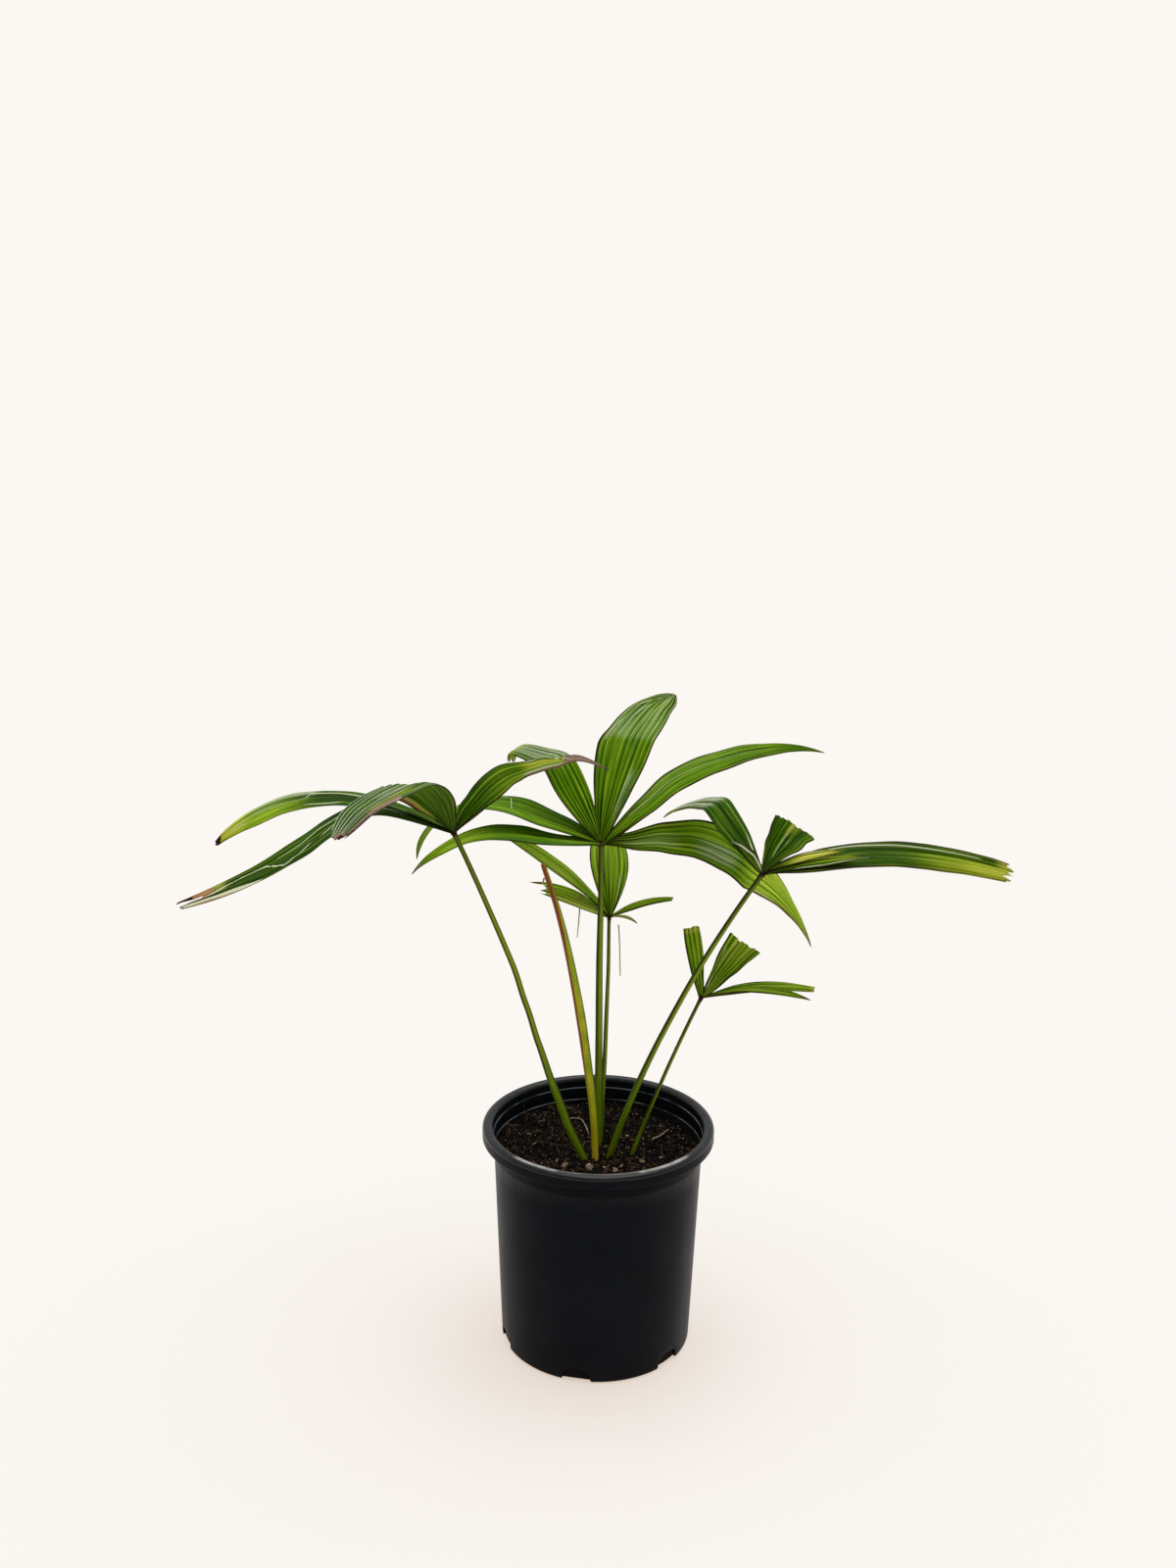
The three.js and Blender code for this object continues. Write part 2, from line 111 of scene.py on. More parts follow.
# Leaf blades
BLADE_STEPS = 240
BLADE_ROW = 2.0
BLADE_COLUMNS_PER_PLEAT = 8
BLADE_THICKNESS = 0.55
EDGE_SHARE = 0.45
END_FROM = 0.8
CROWN_RISE = 0.03
LINE_COUNT = 4
SPINE_REACH = 1.1
UV_MARGIN = 0.02

# Stalks
STALK_SIDES = 28
STALK_ROW = 3.0
FOOT_DEPTH = 14
STALK_FLATTEN = 0.93
STALK_KEEL = 0.035
STALK_SWAY_CELL = 60.0
STALK_SWAY = (0.35, 0.2, 0)
GROOVE_DEPTH = 0.12
GROOVE_ANGLE = 1.57
GROOVE_WIDTH = 0.42
# Side of each stalk, in degrees round it, that gets painted shade
DARK_SIDE = 200

# Swelling where a stalk meets its leaflets: millimetres past the hub, share of the radius, darkness
HUB_PROFILE = ((-9, 1.0, 0.0), (-6, 1.04, 0.1), (-4, 1.1, 0.3), (-2, 1.22, 0.65), (0, 1.3, 1.0),
               (1.5, 1.15, 1.0), (2.4, 0.8, 1.0))
HUB_REACH = -HUB_PROFILE[0][0]
HUB_ROUGHNESS = 0.16

# Floor and light
FLOOR_SIZE = 80
FLOOR_DROP = 0.0005
FLOOR_GLOW = 0.655
SUN_STRENGTH = 2.1
SUN_SPREAD = 62
SUN_LEAN = (-5, 3)
SUN_COLOUR = (1, 0.985, 0.96)
ROOM_COLOUR = (1, 0.985, 0.965, 1)
ROOM_SPAN = (-0.9, 0.5)
ROOM_STRENGTH = (0.22, 0.55)

# Camera of the photograph, in millimetres, degrees and pixels
IMAGE_WIDTH = 1200
FOCAL_PIXELS = 1600
SENSOR_WIDTH = 36
CAMERA_PLACE = (-13.8, -1357.8, 883.4)
CAMERA_PITCH = 13.95
CAMERA_ROLL = 0.735


# Small helpers


def smooth(x):
    """Eases from 0 to 1 as x goes from 0 to 1."""
    t = np.clip(x, 0, 1)
    return t * t * (3 - 2 * t)


def colour(code):
    """Linear colour of an sRGB code such as 4c5f22."""
    parts = [int(code[i:i + 2], 16) / 255 for i in (0, 2, 4)]
    linear = [p / 12.92 if p <= 0.04045 else ((p + 0.055) / 1.055) ** 2.4 for p in parts]
    return (*linear, 1)


def value_noise(x, y, cell, seed):
    """Smooth random values from -1 to 1 over a plane, with lumps about one cell wide."""
    lattice = np.random.default_rng(seed).uniform(-1, 1, (64, 64))
    u = np.asarray(x, float) / cell + 17.3
    v = np.asarray(y, float) / cell + 29.7
    i = np.floor(u).astype(int)
    j = np.floor(v).astype(int)
    a = smooth(u - i)
    b = smooth(v - j)
    low = lattice[i % 64, j % 64] * (1 - a) + lattice[(i + 1) % 64, j % 64] * a
    high = lattice[i % 64, (j + 1) % 64] * (1 - a) + lattice[(i + 1) % 64, (j + 1) % 64] * a
    return low * (1 - b) + high * b


def round_angles(count):
    return np.linspace(0, 2 * np.pi, count, endpoint=False)


def ring_pairs(count):
    """Number of each point round a ring, and of the next one."""
    here = np.arange(count)
    return here, (here + 1) % count


def fan(tip, here, there):
    """Triangles between one point and the sides of a ring."""
    return np.stack([0 * here + tip, here, there], -1)


def set_inputs(node, values):
    for key, value in values.items():
        node.inputs[key].default_value = value


def add_values(mesh, values):
    """Store named numbers, one for each point, for the materials to read."""
    for key, array in values.items():
        attribute = mesh.attributes.new(key, "FLOAT", "POINT")
        attribute.data.foreach_set("value", np.asarray(array, np.float32).ravel())


def make_mesh(name, points, faces, corner_uv=None, values=None, sharp=40):
    """A mesh object from points in millimetres and blocks of faces with as many corners each."""
    mesh = bpy.data.meshes.new(name)
    points = np.asarray(points, float) * MM
    mesh.vertices.add(len(points))
    mesh.vertices.foreach_set("co", points.astype(np.float32).ravel())
    corners = np.concatenate([np.asarray(block).ravel() for block in faces])
    sizes = np.concatenate([np.full(len(block), np.asarray(block).shape[1]) for block in faces])
    starts = np.concatenate([[0], np.cumsum(sizes)[:-1]])
    mesh.loops.add(len(corners))
    mesh.loops.foreach_set("vertex_index", corners.astype(np.int32))
    mesh.polygons.add(len(sizes))
    mesh.polygons.foreach_set("loop_start", starts.astype(np.int32))
    if corner_uv is not None:
        layer = mesh.uv_layers.new(name="OFBake")
        layer.data.foreach_set("uv", np.asarray(corner_uv, np.float32).ravel())
    add_values(mesh, values or {})
    mesh.update(calc_edges=True)
    mesh.validate()
    mesh.shade_smooth()
    mesh.set_sharp_from_angle(angle=math.radians(sharp))
    piece = bpy.data.objects.new(name, mesh)
    bpy.context.scene.collection.objects.link(piece)
    return piece


def finish_piece(piece, material, nodes=()):
    piece.data.materials.clear()
    piece.data.materials.append(material)
    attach(piece, "root")
    if nodes:
        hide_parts(*nodes)


def grid_faces(rows, columns, start=0):
    """Quads of a grid of (rows + 1) by (columns + 1) points, facing rows cross columns."""
    r, c = np.meshgrid(np.arange(rows), np.arange(columns), indexing="ij")
    first = start + r * (columns + 1) + c
    step = columns + 1
    return np.stack([first, first + step, first + step + 1, first + 1], -1).reshape(-1, 4)


class Graph:
    """Short ways to write a material's nodes. A value may be a number or another node's output."""

    def __init__(self, name):
        self.material = bpy.data.materials.new(name)
        self.material.use_nodes = True
        self.tree = self.material.node_tree
        self.tree.nodes.clear()
        self.shader = self.tree.nodes.new("ShaderNodeBsdfPrincipled")
        output = self.tree.nodes.new("ShaderNodeOutputMaterial")
        self.tree.links.new(self.shader.outputs[0], output.inputs["Surface"])

    def feed(self, socket, value):
        if isinstance(value, bpy.types.NodeSocket):
            self.tree.links.new(value, socket)
        else:
            socket.default_value = value

    def math(self, operation, a, b=0.0):
        node = self.tree.nodes.new("ShaderNodeMath")
        node.operation = operation
        self.feed(node.inputs[0], a)
        self.feed(node.inputs[1], b)
        return node.outputs[0]

    def add(self, a, b):
        return self.math("ADD", a, b)

    def times(self, a, b):
        return self.math("MULTIPLY", a, b)

    def mix(self, factor, a, b):
        node = self.tree.nodes.new("ShaderNodeMix")
        node.data_type = "RGBA"
        self.feed(node.inputs[0], factor)
        self.feed(node.inputs[6], a)
        self.feed(node.inputs[7], b)
        return node.outputs[2]

    def tint(self, base, factor, code):
        """Mix an sRGB code into the base colour."""
        return self.mix(factor, base, colour(code))

    def vary(self, value, amount):
        """A value that lies about 0.5, brought about 0 and scaled."""
        return self.times(self.add(value, -0.5), amount)

    def step(self, value, low, high, to_low=0.0, to_high=1.0):
        """Smooth change from to_low to to_high as value goes from low to high."""
        node = self.tree.nodes.new("ShaderNodeMapRange")
        node.interpolation_type = "SMOOTHSTEP"
        self.feed(node.inputs["Value"], value)
        set_inputs(node, {"From Min": low, "From Max": high, "To Min": to_low, "To Max": to_high})
        return node.outputs[0]

    def attribute(self, name):
        node = self.tree.nodes.new("ShaderNodeAttribute")
        node.attribute_name = name
        return node.outputs["Fac"]

    def place(self, scale=(1, 1, 1)):
        """Place on the object, in millimetres times scale."""
        node = self.tree.nodes.new("ShaderNodeTexCoord")
        mapping = self.tree.nodes.new("ShaderNodeMapping")
        mapping.inputs["Scale"].default_value = [1000 * s for s in scale]
        self.tree.links.new(node.outputs["Object"], mapping.inputs["Vector"])
        return mapping.outputs[0]

    def vector(self, x, y, z=0.0):
        node = self.tree.nodes.new("ShaderNodeCombineXYZ")
        for socket, value in zip(node.inputs, (x, y, z)):
            self.feed(socket, value)
        return node.outputs[0]

    def noise(self, vector, scale, detail=3.0, roughness=0.55):
        node = self.tree.nodes.new("ShaderNodeTexNoise")
        self.feed(node.inputs["Vector"], vector)
        set_inputs(node, {"Scale": scale, "Detail": detail, "Roughness": roughness})
        return node.outputs["Fac"]

    def cells(self, vector, scale):
        node = self.tree.nodes.new("ShaderNodeTexVoronoi")
        self.feed(node.inputs["Vector"], vector)
        node.inputs["Scale"].default_value = scale
        return node.outputs["Distance"]

    def bump(self, height, distance, strength=1.0, below=None):
        node = self.tree.nodes.new("ShaderNodeBump")
        set_inputs(node, {"Strength": strength, "Distance": distance * MM})
        self.feed(node.inputs["Height"], height)
        if below is not None:
            self.feed(node.inputs["Normal"], below)
        return node.outputs[0]

    def finish(self, base, roughness, normal=None, specular=0.5):
        self.feed(self.shader.inputs["Base Color"], base)
        self.feed(self.shader.inputs["Roughness"], roughness)
        self.shader.inputs["Specular IOR Level"].default_value = specular
        if normal is not None:
            self.feed(self.shader.inputs["Normal"], normal)
        return self.material


# Materials


# Kinds of mark laid on blades. pale is painted sheen where upper faces catch the light, with a few pale
# margins; dark is painted shade near edges and hubs and under other leaflets; the pale rib marks are painted
# highlights along the pleat ridges.
MARK_KINDS = ("light", "lime", "yellow", "pale", "ribs", "dark", "tan", "grey", "burnt")


def leaf_material(name, dark, middle, light):
    """Pleated green blade: streaks, painted highlights on the ridges, painted shade in the valleys and on one
    flank of each pleat, and the marks laid on it by leaflet.
    """
    g = Graph(name)
    across = g.attribute("across")
    along = g.attribute("along_mm")
    seed = g.attribute("seed")
    face = g.attribute("face")
    rim = g.attribute("rim")
    fold = g.attribute("fold")
    pleat_width = g.attribute("pleat_width")
    marks = {kind: g.attribute(kind) for kind in MARK_KINDS}
    streak = g.noise(g.vector(g.times(across, 0.42), g.times(along, 0.009), seed), 1.0, 4.0, 0.62)
    fine = g.noise(g.vector(g.times(across, 1.7), g.times(along, 0.018), seed), 1.0, 2.0)
    thread = g.noise(g.vector(g.times(across, 0.8), g.times(along, 0.006), seed), 1.0, 1.0)
    cloud = g.noise(g.place(), 0.035, 3.0)
    grain = g.noise(g.place(), 0.9, 3.0)

    # fold counts the pleats: a whole number lies in a valley and a half on a ridge
    height = g.math("PINGPONG", fold, 0.5)
    from_valley = g.times(height, pleat_width)
    from_ridge = g.times(g.math("SUBTRACT", 0.5, height), pleat_width)
    flank = g.math("SINE", g.times(fold, 2 * math.pi))
    ridge_number = g.times(g.math("FLOOR", fold), 3.7)
    valley_number = g.times(g.math("ROUND", fold), 2.9)
    of_ridge = g.noise(g.vector(ridge_number, g.times(along, 0.02), seed), 1.0, 1.0)
    of_valley = g.noise(g.vector(valley_number, g.times(along, 0.015), seed), 1.0, 1.0)

    tone = g.add(g.vary(streak, 3.4), g.vary(cloud, 0.8))
    # flank lightens one side of each pleat and darkens the other: painted light and shade
    tone = g.add(g.add(tone, g.times(flank, 0.14)), g.vary(fine, 1.1))
    # lift lightens a whole leaflet; on the torn leaflet it is painted light
    tone = g.add(tone, g.attribute("lift"))
    base = g.mix(g.step(tone, -0.6, 0.4), colour(dark), colour(middle))
    base = g.tint(base, g.step(tone, 0.25, 1.1, 0, 0.8), light)
    # Painted highlight along the pleat ridges and painted shade down the valleys
    ridge = g.times(g.step(from_ridge, 0.2, 0.65, 1, 0), g.step(of_ridge, 0.42, 0.6, 0.05, 0.75))
    base = g.tint(base, ridge, light)
    valley = g.times(g.step(from_valley, 0.3, 1.1, 1, 0), g.step(of_valley, 0.35, 0.6, 1.0, 0.35))
    base = g.tint(base, valley, "0f1f02")
    vein = g.step(g.math("ABSOLUTE", g.add(thread, -0.5)), 0.015, 0.06, 1, 0)
    base = g.tint(base, g.times(vein, g.step(fine, 0.4, 0.6, 0.1, 0.6)), dark)
    base = g.tint(base, g.times(g.math("SUBTRACT", 1.0, face), 0.08), light)

    strand = g.step(g.add(streak, g.vary(fine, 0.8)), 0.36, 0.64)
    groove = g.math("SUBTRACT", 1.0, g.times(g.math("MAXIMUM", valley, g.times(vein, 0.5)), 0.7))
    lighter = g.mix(strand, colour("76a80c"), colour("c4dc38"))
    base = g.mix(g.times(g.times(marks["light"], 0.85), groove), base, lighter)
    limed = g.mix(strand, colour("b2de14"), colour("eeff74"))
    base = g.mix(g.times(marks["lime"], groove), base, limed)
    yellowed = g.mix(strand, colour("b4c012"), colour("eee86e"))
    base = g.mix(g.times(marks["yellow"], groove), base, yellowed)
    # Painted shade where the dark marks lie
    base = g.tint(base, g.times(marks["dark"], 0.9), "101f04")
    # Painted sheen where the pale marks lie, brighter on the strands
    painted_sheen = g.mix(strand, colour("6f8a34"), colour("e3e8d2"))
    base = g.mix(g.times(g.times(marks["pale"], groove), g.add(0.45, g.times(strand, 0.75))), base, painted_sheen)
    # Pale rib marks: painted highlights along the ridges
    ridge_sheen_line = g.times(g.step(from_ridge, 0.3, 0.75, 1, 0), g.step(of_ridge, 0.3, 0.5, 0.4, 1.0))
    base = g.tint(base, g.times(ridge_sheen_line, marks["ribs"]), "dde3c8")

    # Dead parts start along a ragged line of their own fibres
    torn = g.vary(g.noise(g.place(), 0.28, 5.0, 0.65), 1.1)
    torn = g.add(torn, g.vary(streak, 0.9))
    dead_tones = {
        "tan": (("99602d", "e2b47f"), "6a4226"),
        "grey": (("654c3d", "c4ab98"), "3a2a22"),
        "burnt": (("1f0f0c", "56312a"), "0f0807"),
    }
    dead = 0.0
    for kind, (fibres, spots) in dead_tones.items():
        amount = g.step(g.add(marks[kind], torn), 0.42, 0.58)
        amount = g.times(amount, g.step(marks[kind], 0.02, 0.2))
        tone = g.mix(strand, colour(fibres[0]), colour(fibres[1]))
        tone = g.mix(g.step(grain, 0.45, 0.75, 0, 0.5), tone, colour(spots))
        base = g.mix(amount, base, tone)
        dead = g.math("MAXIMUM", dead, amount)

    # Pale ribs and scratches, some of them painted highlights along folds, each with a thin painted shadow
    # along one side
    for number in range(LINE_COUNT):
        offset = g.attribute(f"line_{number}")
        shown = g.attribute(f"line_{number}_on")
        shade = g.times(g.step(g.math("ABSOLUTE", g.add(offset, 1.7)), 0.4, 1.2, 1, 0), 0.7)
        base = g.tint(base, g.times(shade, shown), "0f1f02")
        offset = g.add(offset, g.vary(grain, 0.5))
        stripe = g.step(g.math("ABSOLUTE", offset), 0.5, 1.1, 1, 0)
        base = g.tint(base, g.times(stripe, shown), "e2e8c4")

    ragged = g.add(rim, g.vary(grain, 0.9))
    line = g.times(g.step(ragged, 0.75, 1.6, 1, 0), g.attribute("rim_line"))
    base = g.mix(line, base, g.mix(g.step(cloud, 0.35, 0.6), colour("171203"), colour("43300e")))
    speck = g.times(g.step(g.cells(g.place(), 0.16), 0.03, 0.075, 1, 0), 0.5)
    base = g.tint(base, g.times(speck, g.step(grain, 0.5, 0.6)), "cfd6b4")

    rough = g.add(g.add(0.32, g.times(grain, 0.14)), g.times(dead, 0.35))
    normal = g.bump(g.add(g.times(fine, 0.7), g.times(streak, 0.6)), 0.35, 1.0)
    normal = g.bump(grain, 0.06, 0.5, normal)
    return g.finish(base, rough, normal, specular=0.05)


def stalk_material(name, base_tone, low, middle, edge, band, band_share, band_rise, dark_side):
    """Ribbed green stalk: its foot paler, one long band of another colour, painted shade down one side, a
    darker top, and fine dark lines.
    """
    g = Graph(name)
    along = g.attribute("along")
    around = g.attribute("around")
    along_mm = g.attribute("along_mm")
    ring = g.vector(g.math("COSINE", around), g.math("SINE", around), g.times(along_mm, 0.004))
    streak = g.noise(ring, 4.5, 4.0, 0.6)
    lines = g.noise(ring, 13.0, 3.0, 0.5)
    cloud = g.noise(g.place(), 0.06, 4.0)
    grain = g.noise(g.place(), 1.3, 3.0)
    base = g.mix(g.step(streak, 0.36, 0.66), colour(middle), colour(edge))
    base = g.tint(base, g.step(cloud, 0.4, 0.7, 0, 0.35), low)
    foot = g.step(g.add(along, g.vary(streak, 0.12)), 0.0, 0.34, 1, 0)
    base = g.tint(base, g.times(foot, 0.8), low)
    sole = g.step(g.add(along, g.vary(cloud, 0.06)), -0.01, 0.09, 1, 0)
    base = g.tint(base, g.times(sole, 0.9), base_tone)
    # The band: a painted highlight on the green stalks, the own red-brown of the old spear
    turned = g.math("COSINE", g.add(around, -math.radians(band[1])))
    turned = g.add(turned, g.vary(streak, 0.9))
    turned = g.add(turned, g.step(along, 0.62, 0.95, 0.0, band_rise))
    turned = g.step(turned, band_share, band_share + 0.35)
    upper = g.step(g.add(along, g.vary(streak, 0.2)), 0.12, 0.45)
    base = g.tint(base, g.times(turned, upper), band[0])
    # Painted shade down the side at DARK_SIDE; the stalk also darkens towards its top
    shaded = g.add(g.math("COSINE", g.add(around, -math.radians(DARK_SIDE))), g.vary(streak, 0.7))
    shaded = g.times(g.step(shaded, 0.25, 0.8), g.step(along, 0.1, 0.4, 0.15, dark_side))
    base = g.tint(base, shaded, "18260a")
    base = g.tint(base, g.step(along, 0.66, 1.0, 0, 0.6 * dark_side), "2c380a")
    base = g.tint(base, g.step(lines, 0.52, 0.72, 0, 0.45), edge)
    rim = g.attribute("rim")
    base = g.tint(base, g.times(g.step(rim, 0.7, 0.97), 0.85), "1d2a06")
    hub = g.step(g.add(g.attribute("hub"), g.vary(grain, 0.5)), 0.35, 0.75)
    base = g.mix(hub, base, g.mix(g.step(grain, 0.4, 0.6), colour("160f09"), colour("4a2415")))
    speck = g.step(g.cells(g.place((1, 1, 0.5)), 0.35), 0.05, 0.11, 0.35, 0)
    base = g.tint(base, g.times(speck, g.step(grain, 0.45, 0.6)), "2b2109")
    rough = g.add(0.3, g.times(grain, 0.12))
    rough = g.add(rough, g.times(hub, 0.3))
    normal = g.bump(g.add(lines, g.times(streak, 0.6)), 0.3, 0.8)
    normal = g.bump(grain, 0.06, 0.5, normal)
    return g.finish(base, rough, normal, specular=0.06)


def pot_material():
    """Satin black moulded plastic: cloudy tone, dust in the corners, fine scuffs, a lip greyer from wear and
    painted sheen, painted shade under the rim and on the front, and painted highlights on the inner ledges
    and the seam.
    """
    g = Graph("pot_black_plastic")
    place = g.place()
    cloud = g.noise(place, 0.018, 4.0)
    drift = g.noise(g.place((1, 1, 0.12)), 0.09, 4.0, 0.6)
    grain = g.noise(place, 1.6, 3.0)
    orange = g.noise(place, 0.35, 2.0)
    base = g.mix(g.step(cloud, 0.35, 0.68), colour("111419"), colour("181b21"))
    base = g.tint(base, g.step(drift, 0.45, 0.8, 0, 0.35), "15181d")
    base = g.tint(base, g.times(g.attribute("inner"), 0.8), "121920")
    # Painted shade on the collar under the rim
    base = g.tint(base, g.times(g.attribute("collar"), 0.85), "020407")
    # Painted shade on the front
    base = g.tint(base, g.times(g.attribute("front"), 0.35), "04070b")
    lip = g.attribute("lip")
    # Upper lip greyer: partly wear, partly painted sheen
    wear_and_sheen = g.times(lip, g.add(0.2, g.times(g.step(drift, 0.35, 0.65), 0.4)))
    base = g.tint(base, wear_and_sheen, "33332f")
    # Painted highlights on the inner ledges and along the seam, broken by noise
    edge = g.step(g.attribute("ledge_highlight"), 0.45, 0.95)
    edge = g.times(edge, g.step(g.noise(place, 0.05, 4.0), 0.4, 0.62, 0.15, 0.9))
    base = g.tint(base, edge, "8d9092")
    dust = g.times(g.attribute("dust"), g.step(g.noise(place, 0.12, 5.0, 0.7), 0.35, 0.75))
    base = g.tint(base, g.times(dust, 0.4), "3b332a")
    scratch = g.noise(g.place((0.05, 0.05, 1.2)), 1.0, 3.0)
    scratch = g.times(g.step(scratch, 0.7, 0.76), g.step(cloud, 0.5, 0.62))
    base = g.tint(base, g.times(scratch, 0.2), "4a4c4e")
    rough = g.add(0.36, g.vary(drift, 0.25))
    rough = g.add(rough, g.vary(grain, 0.12))
    rough = g.add(rough, g.times(dust, 0.3))
    normal = g.bump(grain, 0.05, 0.6)
    normal = g.bump(orange, 0.12, 0.35, normal)
    return g.finish(base, rough, normal, specular=0.045)


def lip_material():
    """The same plastic, rubbed smooth and greyer where hands and shelves have worn the lip and where painted
    sheen lies, with painted shade on its front and painted highlights along its crest.
    """
    g = Graph("pot_worn_lip")
    drift = g.noise(g.place((1, 1, 0.3)), 0.09, 4.0, 0.6)
    grain = g.noise(g.place(), 1.6, 3.0)
    scuff = g.noise(g.place((0.25, 0.25, 1.5)), 0.9, 3.0)
    base = g.mix(g.step(drift, 0.35, 0.68), colour("101418"), colour("24272a"))
    base = g.tint(base, g.step(scuff, 0.58, 0.7, 0, 0.5), "4a4a47")
    # Painted shade on the front of the lip
    base = g.tint(base, g.times(g.attribute("front"), 0.85), "070a0e")
    # Painted highlights along the lip's crest
    gleam = g.times(g.attribute("gleam"), g.step(drift, 0.3, 0.6, 0.5, 1.0))
    base = g.tint(base, gleam, "b9bab7")
    rough = g.add(g.add(0.24, g.times(drift, 0.16)), g.times(g.step(scuff, 0.5, 0.7), 0.15))
    normal = g.bump(grain, 0.05, 0.6)
    return g.finish(base, rough, normal, specular=0.4)


def crumb_material(name, dark, light, roughness, scale):
    """Bark, soil crumbs, roots and grit: mottled, fibrous and dull."""
    g = Graph(name)
    mottle = g.noise(g.place(), scale, 5.0, 0.65)
    fibre = g.noise(g.place((1.0, 0.25, 0.6)), scale * 3.5, 4.0, 0.6)
    base = g.mix(g.step(mottle, 0.34, 0.68), colour(dark), colour(light))
    base = g.tint(base, g.step(fibre, 0.52, 0.75, 0, 0.6), dark)
    pits = g.cells(g.place(), scale * 1.8)
    base = g.tint(base, g.step(pits, 0.05, 0.2, 0.5, 0), "0b0807")
    normal = g.bump(g.add(mottle, fibre), 0.5, 0.9)
    rough = g.add(roughness - 0.1, g.times(fibre, 0.2))
    return g.finish(base, rough, normal, specular=0.12)


# Leaf blades


def patch(kind, along, across, soft, amount=1.0):
    """A mark over part of a blade. along runs from 0 at the hub to 1, across from -1 to 1."""
    return {"kind": kind, "along": along, "across": across, "soft": soft, "amount": amount}


def stroke(points, width, amount=1.0):
    """A pale line along a blade through several places (along, across); half its width is in mm."""
    return {"kind": "line", "points": points, "width": width, "amount": amount}


def band(kind, start, end, soft, amount=1.0):
    """A mark over the whole width of a blade, between two shares of its length."""
    return patch(kind, (start, end), (-2, 2), (soft, 0.5), amount)


def leaflet(name, heading, rise, length, width, **more):
    """Shape of one leaflet. Angles are in degrees; shares along it run from 0 at the hub to 1."""
    values = {
        "name": name, "heading": heading, "rise": rise, "length": length, "width": width,
        "droop": 0, "bend": 1.3, "swerve": 0, "widest": 0.42, "roll": 0, "twist": 0, "tip": 0.015,
        "full": 1.8, "root": 0.1, "swell": 1, "crease": 0, "crease_at": 0.5, "crease_span": 0.2,
        "curl": 0, "curl_at": 0.86, "curl_span": 0.16, "fan": False, "extra": False, "lift": 0.0,
        "split": False, "pleats": 6, "depth": 0.75, "end": None, "ragged": 0.0, "shift": None,
        "raised": None, "plus": None, "minus": None, "wave": 0.7, "marks": (), "start": (0, 0, 0),
    }
    unknown = set(more) - set(values)
    if unknown:
        raise ValueError(f"{name}: {unknown}")
    values.update(more)
    return values


